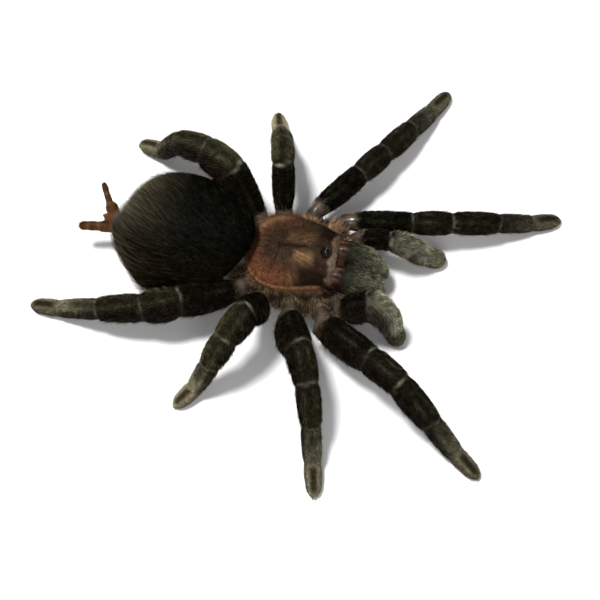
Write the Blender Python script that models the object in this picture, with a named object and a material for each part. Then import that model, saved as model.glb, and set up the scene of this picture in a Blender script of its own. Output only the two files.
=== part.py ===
"""A life-size tarantula at rest on the floor, with its legs spread.

Metres, +Z up. The head faces -Y and the animal's left side is +X. Every
limb is a chain of tapered tubes that starts at a hip beside the trunk. The
tubes are cut on the plane that halves each bend, so neighbours face each
other across one even gap. The feet are trimmed flat where they touch the
floor.
"""
from dataclasses import dataclass
from math import asin, copysign, cos, degrees, pi, radians, sin, sqrt
from typing import Callable

import bmesh
import bpy
from mathutils import Vector

MM = 0.001
GAP = 0.3 * MM            # clear space between neighbouring pieces
TREAD = 0.25 * MM         # how much of a foot's curve is trimmed to a flat
LEG_SIDES = 10            # corners of a limb's cross-section
TALL = 1.05               # height of a limb's cross-section over its width
TIP_REACH = 0.40          # length of a foot's rounded end over the limb's girth
BODY_SIDES = 20           # corners of the abdomen's cross-section
CREASE = 45               # edges that bend more than this, in degrees, stay sharp
UP = Vector((0.0, 0.0, 1.0))

# Measured from the middle of the trunk at floor level.
CARAPACE_PLACE = -0.4 * MM    # y of its middle
CARAPACE_LENGTH = 20.2 * MM
CARAPACE_WIDTH = 17.8 * MM
CARAPACE_FLOOR = 9.5 * MM     # height of its flat underside
CARAPACE_EDGE = 0.7 * MM      # thickness of its rim
CARAPACE_TOP = 16.1 * MM      # height of the head, its highest part
CARAPACE_SIDES = 20
TRUNK_LENGTH = 11.6 * MM
TRUNK_WIDTH = 6.2 * MM
TRUNK_FLOOR = 3.6 * MM

ABDOMEN_LENGTH = 30.6 * MM
ABDOMEN_WIDTH = 25.6 * MM
ABDOMEN_HEIGHT = 21.0 * MM
ABDOMEN_MIDDLE = Vector((0.1, 24.0, 11.3)) * MM
ABDOMEN_SWELL = 0.04          # how much wider the rear half is than the front
ABDOMEN_FULLNESS = 0.92       # below 1 squares its cross-section a little
ABDOMEN_LEAN = 0.75           # how far the front tucks back towards its base

WAIST_RADIUS = 1.3 * MM
WAIST_HEIGHT = 7.4 * MM

CHELICERA_BASE = -10.9 * MM   # y of the face behind the chelicerae
CHELICERA_LENGTH = 10.5 * MM
CHELICERA_WIDTH = 5.65 * MM
CHELICERA_SPREAD = 3.15 * MM   # distance of each one's axis from the middle
FANG_LENGTH = 6.0 * MM
FANG_RADIUS = 0.75 * MM

EYE_MOUND_PLACE = -7.9 * MM       # y of its middle
EYE_MOUND_WIDTH = 2.6 * MM
EYE_MOUND_LENGTH = 1.9 * MM

SPINNERET_RADIUS = 1.25 * MM
SPINNERET_GIRTHS = (1.0, 0.86, 0.80)  # of its three pieces, against the radius
SPINNERET_JOINTS = (3.0, 2.4, 2.5)    # lengths of its three pieces, mm
SHORT_SPINNERET = 2.6 * MM


@dataclass(frozen=True)
class Finish:
    """Colour and surface of a material, before any coat is added."""

    name: str
    colour: tuple[float, float, float]
    roughness: float


@dataclass(frozen=True)
class Pair:
    """Sizes that the left and right limb of one pair share, in mm."""

    root: tuple[float, float, float]     # where the coxa leaves the trunk
    hip: tuple[float, float, float]      # where the femur starts, left side
    lengths: tuple[float, ...]           # of each piece, from the femur out
    girth: float                         # width of the femur


@dataclass(frozen=True)
class Stance:
    """How one limb is held, in degrees.

    heading is measured forwards from straight out, and turn is what each
    joint adds to it. lifts are the slopes of the femur, patella and tibia.
    The piece before the last slopes down as far as it takes to reach the
    floor, and sole is the slope of the last one. skirt is how far the long
    hair of the underside stands out from each piece, in mm, and lean is the
    way it points: 0 is straight down, and positive is away from the head on
    a right limb and towards it on a left one.
    """

    side: int
    heading: float
    turn: float
    lifts: tuple[float, ...]
    sole: float
    lean: float
    skirt: tuple[float, ...]


SKIN = Finish("bristled dark skin", (0.020, 0.021, 0.014), 0.75)
SHIELD = Finish("coppery carapace", (0.150, 0.078, 0.042), 0.65)
UNDERSIDE = Finish("brown underside", (0.030, 0.020, 0.014), 0.80)
VELVET = Finish("grey-green velvet", (0.060, 0.066, 0.048), 0.80)
HORN = Finish("black horn", (0.010, 0.006, 0.005), 0.20)
EYES = Finish("glossy dark eyes", (0.008, 0.006, 0.005), 0.08)
SPINNING = Finish("russet spinnerets", (0.130, 0.060, 0.034), 0.75)

LEG_PAIRS = {
    1: Pair((3.7, -4.5, 6.1), (11.8, -10.0, 7.7), (14.6, 8.6, 10.9, 8.6, 7.4), 4.7),
    2: Pair((4.2, -1.5, 6.1), (12.5, -3.0, 8.2), (13.5, 8.2, 9.8, 8.5, 7.6), 4.7),
    3: Pair((4.2, 1.6, 6.1), (11.0, 3.9, 8.4), (11.7, 7.0, 8.1, 7.9, 6.6), 4.7),
    4: Pair((3.6, 4.7, 6.1), (9.1, 9.2, 8.0), (13.6, 8.1, 10.1, 10.3, 7.2), 4.7),
}
PALP_PAIR = Pair((2.3, -8.1, 5.1), (8.36, -12.7, 7.3), (8.9, 5.2, 6.0, 5.4), 4.0)

LEG_STANCES = {
    (1, "left"): Stance(1, 80.1, -4.7, (3.1, -2.3, -13.8), -11, 20, (0.2, 0.4, 0.5, 0.3, 0)),
    (2, "left"): Stance(1, 33.7, -2.6, (0.9, -6, -13.1), -10, 40, (0.4, 0.5, 0.6, 0.5, 0)),
    (3, "left"): Stance(1, -13.5, -1.5, (56, -24, -52), -16, 0, (0.4, 0.5, 0.5, 0.4, 0)),
    (4, "left"): Stance(1, -52, -8, (56, -10, -34), -22, -45, (0.0, 1.4, 1.6, 0.9, 0)),
    (1, "right"): Stance(-1, 58.3, -0.6, (14.8, 6.3, -29.5), -12, 70, (1.9, 1.2, 1.2, 0.6, 0)),
    (2, "right"): Stance(-1, 26, -3.5, (38, -5, -48), -15, 65, (3.0, 1.1, 0.3, 0.2, 0)),
    (3, "right"): Stance(-1, -16.4, -6.9, (53.8, -13.7, -55.5), -20, -70, (2.4, 1.8, 0.8, 0.3, 0)),
    (4, "right"): Stance(-1, -61.2, -9.1, (15.6, -12.2, -17), -10, -70, (2.2, 2.6, 1.3, 0.3, 0)),
}
PALP_STANCES = {
    "left": Stance(1, 92.3, -8.7, (24.4, -31.2), -30, 0, (0.2, 0.4, 0.4, 0)),
    "right": Stance(-1, 98.2, -21.2, (43, -34.1), -62, 80, (2.7, 2.0, 0.6, 0)),
}

# Width of a piece at its start, middle and end, as a part of the femur's.
TAPERS = {
    "femur": (0.82, 1.04, 0.98),
    "patella": (0.96, 1.08, 0.95),
    "tibia": (0.92, 1.03, 0.88),
    "metatarsus": (0.86, 0.89, 0.80),
    "tarsus": (0.79, 0.80, 0.58),
}
PALP_TAPERS = {
    "femur": (0.82, 1.04, 0.98),
    "patella": (1.10, 1.26, 1.20),
    "tibia": (1.18, 1.26, 1.12),
    "tarsus": (1.10, 1.12, 0.84),
}


def clear_scene() -> None:
    """Removes whatever the file already holds."""
    for thing in list(bpy.data.objects):
        bpy.data.objects.remove(thing, do_unlink=True)


def material_of(finish: Finish) -> bpy.types.Material:
    """Returns the finish's material, made once."""
    known = bpy.data.materials.get(finish.name)
    if known is not None:
        return known
    made = bpy.data.materials.new(finish.name)
    made.use_nodes = True
    shader = made.node_tree.nodes["Principled BSDF"]
    shader.inputs["Base Color"].default_value = (*finish.colour, 1.0)
    shader.inputs["Roughness"].default_value = finish.roughness
    shader.inputs["Metallic"].default_value = 0.0
    return made


def add_piece(name: str, bm: bmesh.types.BMesh, finish: Finish) -> bpy.types.Object:
    """Turns a closed mesh into a named piece with its own material."""
    bmesh.ops.recalc_face_normals(bm, faces=bm.faces)
    mesh = bpy.data.meshes.new(name)
    bm.to_mesh(mesh)
    bm.free()
    mesh.shade_smooth()
    mesh.set_sharp_from_angle(angle=radians(CREASE))
    mesh.materials.append(material_of(finish))
    piece = bpy.data.objects.new(name, mesh)
    bpy.context.scene.collection.objects.link(piece)
    return piece


def loft(rings: list[list[Vector]]) -> bmesh.types.BMesh:
    """Skins a row of equal rings and closes both ends."""
    bm = bmesh.new()
    rows = [[bm.verts.new(point) for point in ring] for ring in rings]
    count = len(rings[0])
    for near, far in zip(rows, rows[1:]):
        for k in range(count):
            after = (k + 1) % count
            bm.faces.new((near[k], near[after], far[after], far[k]))
    bm.faces.new(rows[0])
    bm.faces.new(rows[-1])
    return bm


def blend(values: tuple[float, float, float], t: float) -> float:
    """Follows start, middle and end values smoothly as t goes from 0 to 1."""
    start, middle, end = values
    return start * (1 - t) * (1 - 2 * t) + 4 * middle * t * (1 - t) + end * t * (2 * t - 1)


def direction(side: int, heading: float, lift: float) -> Vector:
    """Unit vector of a limb piece from its heading and slope in degrees."""
    level = cos(radians(lift))
    out = side * cos(radians(heading)) * level
    back = -sin(radians(heading)) * level
    return Vector((out, back, sin(radians(lift))))


def limb_ring(centre: Vector, along: Vector, plane: Vector, width: float,
              height: float, skirt: float = 0.0, lean: float = 0.0) -> list[Vector]:
    """One cross-section of a limb, slid along the limb into a cutting plane."""
    across = along.cross(UP).normalized()
    top = across.cross(along).normalized()
    hang = across * sin(lean) - top * cos(lean)
    ring = []
    for k in range(LEG_SIDES):
        angle = 2 * pi * (k + 0.5) / LEG_SIDES
        offset = across * (0.5 * width * sin(angle)) - top * (0.5 * height * cos(angle))
        offset += hang * (skirt * max(0.0, cos(angle - lean)) ** 1.5)
        slide = offset.dot(plane) / along.dot(plane)
        ring.append(centre + offset - along * slide)
    return ring


def limb_rings(start: Vector, end: Vector, before: Vector, after: Vector,
               widths: Callable[[float], float], tall: float, steps: int,
               skirts: Callable[[float], float] = lambda t: 0.0,
               lean: float = 0.0) -> list[list[Vector]]:
    """Cross-sections from one joint to the next, mitred at both ends.

    before and after are the directions of the neighbouring pieces.
    """
    along = (end - start).normalized()
    first = (before + along).normalized()
    last = (along + after).normalized()
    near = start + along * (0.5 * GAP / along.dot(first))
    far = end - along * (0.5 * GAP / along.dot(last))
    rings = []
    for k in range(steps + 1):
        t = k / steps
        plane = (first * (1 - t) ** 2 + along * (2 * t * (1 - t)) + last * t ** 2).normalized()
        size = widths(t)
        rings.append(limb_ring(near.lerp(far, t), along, plane, size, size * tall,
                               skirts(t), lean))
    return rings


def rounded_tip(centre: Vector, along: Vector, width: float, height: float,
                reach: float, steps: int) -> list[list[Vector]]:
    """Shrinking cross-sections that close the end of a foot."""
    rings = []
    for k in range(1, steps + 1):
        angle = 0.5 * pi * k / (steps + 0.35)
        size = cos(angle)
        spot = centre + along * (reach * sin(angle))
        rings.append(limb_ring(spot, along, along, width * size, height * size))
    return rings


def trim_to_floor(bm: bmesh.types.BMesh) -> None:
    """Cuts off whatever lies under the floor, and closes the cut flat."""
    parts = bm.verts[:] + bm.edges[:] + bm.faces[:]
    cut = bmesh.ops.bisect_plane(bm, geom=parts, plane_co=(0, 0, 0), plane_no=(0, 0, -1),
                                 clear_outer=True)
    edges = [item for item in cut["geom_cut"] if isinstance(item, bmesh.types.BMEdge)]
    bmesh.ops.contextual_create(bm, geom=edges)


def slope_of(drop: float) -> float:
    """Slope in degrees of a piece that climbs by drop for each unit of length."""
    return degrees(asin(max(-1.0, min(1.0, drop))))


def limb_path(pair: Pair, stance: Stance, tip_height: float) -> list[Vector]:
    """Joint positions of a limb, from its root by the trunk to its tip.

    The piece before the last one is turned down until the tip's middle is
    tip_height over the floor.
    """
    mirror = Vector((stance.side, 1, 1))
    root = Vector(pair.root) * MM * mirror
    joints = [root, Vector(pair.hip) * MM * mirror]
    lengths = [length * MM for length in pair.lengths]
    count = len(lengths)
    for k in range(count - 2):
        heading = stance.heading + stance.turn * k
        step = direction(stance.side, heading, stance.lifts[k])
        joints.append(joints[-1] + step * lengths[k])
    heading = stance.heading + stance.turn * (count - 2)
    ankle = tip_height - lengths[-1] * sin(radians(stance.sole))
    slope = slope_of((ankle - joints[-1].z) / lengths[-2])
    joints.append(joints[-1] + direction(stance.side, heading, slope) * lengths[-2])
    joints.append(joints[-1] + direction(stance.side, heading, stance.sole) * lengths[-1])
    return joints


def piece_rings(pair: Pair, stance: Stance, joints: list[Vector], k: int) -> list[list[Vector]]:
    """Cross-sections of the piece that ends at joint k + 1."""
    girth = pair.girth * MM
    ways = [(b - a).normalized() for a, b in zip(joints, joints[1:])]
    tapers = PALP_TAPERS if len(pair.lengths) == len(PALP_TAPERS) else TAPERS
    taper = list(tapers.values())[k - 1]
    hair = [-0.6 * stance.skirt[0], *stance.skirt, 0.0]
    skirt = (0.5 * (hair[k - 1] + hair[k]), hair[k], 0.5 * (hair[k] + hair[k + 1]))
    final = k == len(ways) - 1
    after = ways[k] if final else ways[k + 1]
    end = joints[k + 1]
    if final:
        end = end - ways[k] * (TIP_REACH * girth)
    rings = limb_rings(joints[k], end, ways[k - 1], after,
                       lambda t: girth * blend(taper, t), TALL, 5,
                       lambda t: MM * blend(skirt, t), radians(stance.lean))
    if final:
        width = girth * taper[2]
        rings += rounded_tip(end, ways[k], width, width * TALL, TIP_REACH * girth, 3)
    return rings


def grounded_path(pair: Pair, stance: Stance) -> list[Vector]:
    """A limb's joints, lowered until its foot dips just under the floor."""
    tip_height = 0.5 * pair.girth * MM
    for _ in range(4):
        joints = limb_path(pair, stance, tip_height)
        foot = piece_rings(pair, stance, joints, len(joints) - 2)
        lowest = min(point.z for ring in foot for point in ring)
        tip_height -= lowest + TREAD
    return joints


def add_limb(name: str, pair: Pair, stance: Stance, pieces: tuple[tuple[str, int], ...]) -> None:
    """Adds every piece of one limb.

    pieces gives each node's name and how many lengths of the limb it spans.
    """
    joints = grounded_path(pair, stance)
    ways = [(b - a).normalized() for a, b in zip(joints, joints[1:])]
    add_coxa(name, joints, ways, pair.girth * MM)
    index = 1
    for node, span in pieces:
        rings = piece_rings(pair, stance, joints, index)
        for k in range(index + 1, index + span):
            rings = rings[:-1] + piece_rings(pair, stance, joints, k)[1:]
        bm = loft(rings)
        index += span
        if index == len(ways):
            trim_to_floor(bm)
        add_piece(f"{name}_{node}", bm, SKIN)


def add_coxa(name: str, joints: list[Vector], ways: list[Vector], girth: float) -> None:
    """Adds the short piece that joins a limb to the trunk."""
    leg = girth > 4.5 * MM
    broad = (0.56, 0.82, 0.92) if leg else (0.42, 0.62, 0.78)
    rings = limb_rings(joints[0], joints[1], ways[0], ways[1],
                       lambda t: girth * blend(broad, t), 0.88, 5)
    add_piece(f"{name}_coxa", loft(rings), UNDERSIDE)


def carapace_half_width(v: float) -> float:
    """Half width of the carapace, with v from -1 at the front to 1 behind."""
    rear = sqrt(max(0.0, 1 - max(0.0, v - 0.12) ** 2.4 / 0.88 ** 2.4))
    front = 1 - 0.29 * max(0.0, 0.12 - v) ** 1.5 / 1.12 ** 1.5
    return 0.5 * CARAPACE_WIDTH * rear * front


def carapace_crest(v: float) -> float:
    """Height of the carapace's middle line above its rim."""
    full = CARAPACE_TOP - CARAPACE_FLOOR - CARAPACE_EDGE
    head = 1.0 - 0.22 * max(0.0, -0.55 - v) / 0.45
    fall = 1.0 - 0.35 * max(0.0, v + 0.3) - 0.55 * max(0.0, v - 0.15) ** 2
    return full * min(head, fall)


def add_carapace() -> None:
    """Adds the shield over the front half of the body."""
    stations = 13
    rings = []
    for k in range(stations):
        v = -1 + 1.97 * sin(0.5 * pi * (k / (stations - 1))) ** 1.25
        half = carapace_half_width(v)
        rim = CARAPACE_FLOOR + CARAPACE_EDGE
        crest = carapace_crest(v)
        y = CARAPACE_PLACE + 0.5 * CARAPACE_LENGTH * v
        ring = []
        for j in range(CARAPACE_SIDES - 4):
            angle = pi * j / (CARAPACE_SIDES - 5)
            rise = max(0.0, sin(angle)) ** 0.85
            ring.append(Vector((half * cos(angle), y, rim + crest * rise)))
        for x in (-0.93, -0.4, 0.4, 0.93):
            ring.append(Vector((half * x, y, CARAPACE_FLOOR)))
        rings.append(ring)
    add_piece("carapace", loft(rings), SHIELD)


def add_trunk() -> None:
    """Adds the core between the coxae, with the sternum as its underside."""
    rings = []
    top = CARAPACE_FLOOR - GAP
    for height, scale in ((TRUNK_FLOOR, 0.72), (TRUNK_FLOOR + 0.8 * MM, 0.97),
                          (5.6 * MM, 1.0), (8.0 * MM, 0.96), (top, 0.90)):
        ring = []
        for k in range(18):
            angle = 2 * pi * k / 18
            ring.append(Vector((0.5 * TRUNK_WIDTH * scale * cos(angle),
                                0.5 * TRUNK_LENGTH * scale * sin(angle), height)))
        rings.append(ring)
    add_piece("sternum", loft(rings), UNDERSIDE)


def abdomen_point(u: float, angle: float) -> Vector:
    """A point on the abdomen: u runs from -1 in front to 1 behind."""
    swell = sqrt(max(0.0, 1 - u * u))
    side = 0.5 * ABDOMEN_WIDTH * swell * (1 + ABDOMEN_SWELL * u)
    rise = 0.5 * ABDOMEN_HEIGHT * swell * (1 + 0.06 * u)
    x = side * copysign(abs(sin(angle)) ** ABDOMEN_FULLNESS, sin(angle))
    z = rise * copysign(abs(cos(angle)) ** ABDOMEN_FULLNESS, cos(angle))
    tuck = ABDOMEN_LEAN * max(0.0, -u) ** 1.5
    y = 0.5 * ABDOMEN_LENGTH * u - tuck * z
    settle = 1.2 * MM * u
    return ABDOMEN_MIDDLE + Vector((x, y, z - settle))


def add_abdomen() -> None:
    """Adds the egg-shaped abdomen, tucked up over the rear of the carapace."""
    rows = 15
    rings = []
    for k in range(rows):
        u = -cos(pi * (k + 0.45) / (rows - 0.1))
        rings.append([abdomen_point(u, 2 * pi * j / BODY_SIDES) for j in range(BODY_SIDES)])
    add_piece("abdomen", loft(rings), SKIN)


def add_waist() -> None:
    """Adds the short stalk between the trunk and the abdomen."""
    start = Vector((0, 0.5 * TRUNK_LENGTH * 0.98, WAIST_HEIGHT))
    end = Vector((0, 11.5 * MM, WAIST_HEIGHT - 0.2 * MM))
    along = (end - start).normalized()
    slant = Vector((0, 0.6, 0.8))
    rings = [limb_ring(start + along * GAP, along, along, 2 * WAIST_RADIUS, 2 * WAIST_RADIUS),
             limb_ring(start.lerp(end, 0.5), along, along, 2 * WAIST_RADIUS, 2 * WAIST_RADIUS),
             limb_ring(end, along, slant, 2 * WAIST_RADIUS, 2 * WAIST_RADIUS)]
    add_piece("pedicel", loft(rings), UNDERSIDE)


def chelicera_section(t: float) -> tuple[float, float, float]:
    """Width, lower edge and upper edge of a chelicera, t from base to tip."""
    narrowing = sqrt(1 - 0.6 * max(0.0, t - 0.55) ** 2 / 0.45 ** 2)
    width = CHELICERA_WIDTH * blend((0.93, 1.06, 0.88), t) * narrowing
    low = (8.0 - 6.2 * t + 2.6 * t ** 3) * MM
    high = (13.6 + 1.3 * t - 8.0 * t ** 2.6) * MM
    return width, low, high


def add_chelicera(label: str, side: int) -> None:
    """Adds one of the two stout, furry jaws."""
    rings = []
    steps = 9
    for k in range(steps + 1):
        t = 1 - (1 - k / steps) ** 1.25
        width, low, high = chelicera_section(t)
        if k == steps:
            middle = 0.5 * (low + high)
            low = middle - 0.22 * (high - low)
            high = middle + 0.22 * (high - low)
            width *= 0.6
        x = side * (CHELICERA_SPREAD - 0.5 * MM * t * t)
        y = CHELICERA_BASE - CHELICERA_LENGTH * t
        ring = []
        for j in range(12):
            angle = 2 * pi * (j + 0.5) / 12
            ring.append(Vector((x + 0.5 * width * sin(angle), y,
                                0.5 * (low + high) + 0.5 * (high - low) * cos(angle))))
        rings.append(ring)
    add_piece(f"chelicera_{label}", loft(rings), VELVET)


def add_fang(label: str, side: int) -> None:
    """Adds a curved fang, folded back under its chelicera."""
    rings = []
    steps = 6
    for k in range(steps + 1):
        t = k / steps
        sweep = radians(-20 + 105 * t)
        spot = Vector((side * (2.5 - 0.7 * t) * MM,
                       CHELICERA_BASE - 0.74 * CHELICERA_LENGTH + 0.62 * FANG_LENGTH * sin(sweep),
                       3.5 * MM - 0.28 * FANG_LENGTH * cos(sweep) ** 2 * (1 - 0.5 * t) + 0.1 * MM * t))
        radius = FANG_RADIUS * (1 - 0.75 * t)
        along = Vector((0, cos(sweep), 0.6 * sin(sweep))).normalized()
        rings.append(limb_ring(spot, along, along, 2 * radius, 2 * radius))
    add_piece(f"fang_{label}", loft(rings), HORN)


def carapace_height(x: float, y: float) -> float:
    """Height of the carapace's upper surface above the floor."""
    v = 2 * (y - CARAPACE_PLACE) / CARAPACE_LENGTH
    across = min(1.0, abs(x) / carapace_half_width(v))
    rise = sqrt(1 - across * across) ** 0.85
    return CARAPACE_FLOOR + CARAPACE_EDGE + carapace_crest(v) * rise


def add_eye_mound() -> None:
    """Adds the low mound on the head that bears the eight eyes."""
    rings = []
    for scale, rise in ((1.0, 0.0), (0.96, 0.35), (0.80, 0.75), (0.45, 1.0), (0.12, 1.05)):
        ring = []
        for k in range(14):
            angle = 2 * pi * k / 14
            x = 0.5 * EYE_MOUND_WIDTH * scale * cos(angle)
            y = EYE_MOUND_PLACE + 0.5 * EYE_MOUND_LENGTH * scale * sin(angle)
            base = carapace_height(x, y) if rise < 0.1 else carapace_height(0, EYE_MOUND_PLACE)
            ring.append(Vector((x, y, base + GAP + rise * MM)))
        rings.append(ring)
    add_piece("eye_mound", loft(rings), EYES)


def spinneret_base(side: float) -> Vector:
    """Where a spinneret leaves the abdomen."""
    return ABDOMEN_MIDDLE + Vector((side * 1.4 * MM, 0.5 * ABDOMEN_LENGTH + 0.3 * MM, -3.2 * MM))


def add_spinneret(label: str, side: int, splay: float, rise: float) -> None:
    """Adds one long spinneret: three tapering lengths in a single body.

    splay is how far it points out from straight back, in degrees, and rise
    is its slope.
    """
    base = spinneret_base(side)
    rings = []
    for k, (length, girth) in enumerate(zip(SPINNERET_JOINTS, SPINNERET_GIRTHS)):
        along = direction(side, splay - 90 + 5 * k, rise + 7 * k)
        wide = 2 * SPINNERET_RADIUS * girth
        tip = base + along * (length * MM)
        rings.append(limb_ring(base.lerp(tip, 0.12), along, along, wide * 0.92, wide * 0.92))
        rings.append(limb_ring(base.lerp(tip, 0.5), along, along, wide, wide))
        rings.append(limb_ring(base.lerp(tip, 0.92), along, along, wide * 0.86, wide * 0.86))
        base = tip
    rings.append(limb_ring(base, along, along, wide * 0.5, wide * 0.5))
    add_piece(f"spinneret_{label}", loft(rings), SPINNING)


def add_short_spinnerets() -> None:
    """Adds the small pair between the long ones, as one flattened body."""
    base = spinneret_base(0.3) + Vector((0, 0.1 * MM, 0.3 * MM))
    along = direction(1, -90, 20)
    rings = []
    for t, wide, tall in ((0.0, 0.9, 1.3), (0.5, 0.95, 1.3), (0.85, 0.8, 1.0), (1.0, 0.4, 0.5)):
        spot = base + along * (t * SHORT_SPINNERET)
        rings.append(limb_ring(spot, along, along, wide * MM, tall * MM))
    add_piece("spinnerets_short", loft(rings), SPINNING)


def settle_origin() -> None:
    """Shifts every piece so the model's footprint is centred on the origin."""
    pieces = list(bpy.context.scene.collection.objects)
    xs = [v.co.x for piece in pieces for v in piece.data.vertices]
    ys = [v.co.y for piece in pieces for v in piece.data.vertices]
    shift = Vector((0.5 * (min(xs) + max(xs)), 0.5 * (min(ys) + max(ys)), 0.0))
    for piece in pieces:
        for vert in piece.data.vertices:
            vert.co -= shift


def main() -> None:
    """Builds the whole animal."""
    clear_scene()
    add_carapace()
    add_trunk()
    add_abdomen()
    add_waist()
    add_eye_mound()
    for label, side in (("left", 1), ("right", -1)):
        add_chelicera(label, side)
        add_fang(label, side)
        stance = PALP_STANCES[label]
        add_limb(f"palp_{label}", PALP_PAIR, stance,
                 (("femur", 1), ("shin", 2), ("tarsus", 1)))
    add_spinneret("left", 1, 52, 12)
    add_spinneret("right", -1, 8, 0)
    add_short_spinnerets()
    for (number, label), stance in LEG_STANCES.items():
        add_limb(f"leg_{number}_{label}", LEG_PAIRS[number], stance,
                 (("femur", 1), ("patella", 1), ("tibia", 1), ("foot", 2)))
    settle_origin()


main()
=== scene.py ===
"""Looks of a life-size tarantula: one skin, a carapace, eyes, fangs, claws and the coat.

Metres, +Z up. The head faces -Y and the animal's left side is +X. The skin is
one closed surface that lies inside the solids by the depth of the coat. Every
tuft of the coat is solid mesh, grown on the skin along the lie of the hair.
"""

import logging
from dataclasses import dataclass, field
from enum import Enum
from math import asin, cos, degrees, pi, radians, sin, sqrt

import bmesh
import bpy
import numpy as np
from mathutils import Matrix, Vector
from mathutils.kdtree import KDTree

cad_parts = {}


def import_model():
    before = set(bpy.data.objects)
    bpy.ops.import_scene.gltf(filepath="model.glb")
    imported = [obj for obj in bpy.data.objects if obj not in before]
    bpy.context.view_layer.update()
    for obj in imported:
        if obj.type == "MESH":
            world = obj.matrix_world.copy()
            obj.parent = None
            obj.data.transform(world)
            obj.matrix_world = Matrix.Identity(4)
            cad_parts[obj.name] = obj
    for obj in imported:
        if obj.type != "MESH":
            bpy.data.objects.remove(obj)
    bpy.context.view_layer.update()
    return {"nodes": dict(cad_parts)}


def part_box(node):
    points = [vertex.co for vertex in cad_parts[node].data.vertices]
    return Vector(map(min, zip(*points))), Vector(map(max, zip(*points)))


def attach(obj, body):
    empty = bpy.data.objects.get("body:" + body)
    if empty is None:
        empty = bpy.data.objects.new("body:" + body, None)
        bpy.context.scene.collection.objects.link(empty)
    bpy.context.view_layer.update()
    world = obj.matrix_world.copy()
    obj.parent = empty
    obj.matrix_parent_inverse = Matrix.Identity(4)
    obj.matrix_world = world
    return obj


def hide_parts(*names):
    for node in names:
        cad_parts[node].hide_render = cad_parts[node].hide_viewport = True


LOG = logging.getLogger("tarantula")
Array = np.ndarray
Socket = bpy.types.NodeSocket
MM = 0.001
UP = np.array((0.0, 0.0, 1.0))
FORWARD = np.array((0.0, -1.0, 0.0))
ROOT_BODY = "root"
PAINT_GAIN = 1.25
STEP = 0.28 * MM                  # between the rings of a limb
SIDES = 44
VOXEL = 0.395 * MM                # fineness of the skin

# Shared with the solids, measured from the middle of the trunk.
CARAPACE_PLACE = -0.4 * MM        # y of its middle
CARAPACE_LENGTH = 20.2 * MM
CARAPACE_WIDTH = 17.8 * MM
CARAPACE_FLOOR = 9.5 * MM
CARAPACE_EDGE = 0.7 * MM
CARAPACE_TOP = 16.1 * MM
ABDOMEN_SIZE = np.array((25.6, 30.6, 21.0)) * MM
ABDOMEN_MIDDLE = np.array((0.1, 24.0, 11.3)) * MM
JAW_BASE = -10.9 * MM
JAW_LENGTH = 10.5 * MM
JAW_WIDTH = 5.65 * MM
FANG_LENGTH = 6.0 * MM
LIMB_TALL = 1.05
TIP_REACH = 0.40
SOLE = 0.12 * MM                  # lowest skin of a foot
HAIR_FLOOR = 0.02 * MM            # lowest point of any hair
FRINGE_FULL = 0.9 * MM            # fringe that covers what it grows on
SKIN_LIFT = 0.86                  # share of the fringe that the skin itself fills
JOINT_PINCH = 0.055
ANKLE_PINCH = 0.03
BALL_PINCH = 0.08


class Kind(Enum):
    """Piece of a limb."""

    COXA = 1
    FEMUR = 2
    PATELLA = 3
    TIBIA = 4
    METATARSUS = 5
    TARSUS = 6


class Zone(Enum):
    """Stretch of the surface that one piece of the coat can cover."""

    ABDOMEN = 1
    FRONT_LEFT = 2
    FRONT_RIGHT = 3
    REAR_LEFT = 4
    REAR_RIGHT = 5
    HEAD = 6
    TRUNK = 7
    SHELL = 8
    HIP = 9


class Hair(Enum):
    """Which of the two lengths of hair a piece of the coat has."""

    SHORT = "short"
    LONG = "long"


class Paint(str, Enum):
    """Paints of the markings and of painted light and shade, each a six-letter code."""

    # Dark red-brown of the fringe hair, also used as painted shade on the dark side of a limb.
    FRINGE = "0f0905"
    CUFF = "7b7766"
    # Painted reddish rim of backlit hair, just below the side of a limb.
    SIDE_LINE = "4c2c16"
    BARE_SKIN = "3a3928"
    BARE_HAIR = "3f3e2c"
    FEELER_TIP = "2c2014"
    INNER_COXA = "8a6c56"
    BALL_SKIN = "43372e"
    BALL_HAIR = "5c5344"
    ABDOMEN_SKIN = "060703"
    # The two rear paints are partly the paler hair of the rear and partly painted sheen.
    ABDOMEN_SKIN_REAR = "241f16"
    ABDOMEN_SKIN_FLANK = "120b05"
    ABDOMEN_HAIR = "070803"
    ABDOMEN_HAIR_REAR = "3d3729"
    ABDOMEN_HAIR_FLANK = "1c1308"
    TRUNK_SKIN = "2c2018"
    TRUNK_HAIR = "4a382b"
    WAIST_SKIN = "3a2a20"
    BRIDGE_SKIN = "2c1a12"
    BRIDGE_HAIR = "4a3328"
    WEB_SKIN = "17120c"
    WEB_HAIR = "33291e"
    REAR_WEB_HAIR = "5c4d3c"
    JAW_FELT = "25241b"
    # Partly whitish felt, partly a painted highlight on the jaws.
    JAW_PALE_FELT = "75735f"
    JAW_FLANK = "2a2417"
    JAW_HORN = "24120c"
    JAW_STREAK = "6b5548"
    JAW_EDGE = "4e382e"
    SPINNERET_SIDE = "7a4d2c"
    SPINNERET_TOP = "3c2614"
    SPINNERET_TIP = "2a180c"
    SPINNERET_JOINT = "6b503a"
    SHORT_SPINNERET = "5a3520"
    SHORT_SPINNERET_HAIR = "5a3a26"
    SHELL = "2b1f15"
    SHELL_COPPER = "583626"
    SHELL_GOLD = "7a5f3e"
    SHELL_GROOVE = "2c1d12"
    SHELL_CORNER = "170e08"
    SHELL_MIDLINE = "120c07"
    SHELL_PIT = "1a110a"
    SHELL_BROW = "31231a"
    SHELL_TAN = "785a40"
    SHELL_RIM = "8f6647"
    SHELL_DOWN = "94744c"
    SHELL_BELOW = "2a1d14"
    LIP = "6b5646"
    PALE_LIP = "7f7262"
    RIM_HAIR = "624c36"


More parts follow.
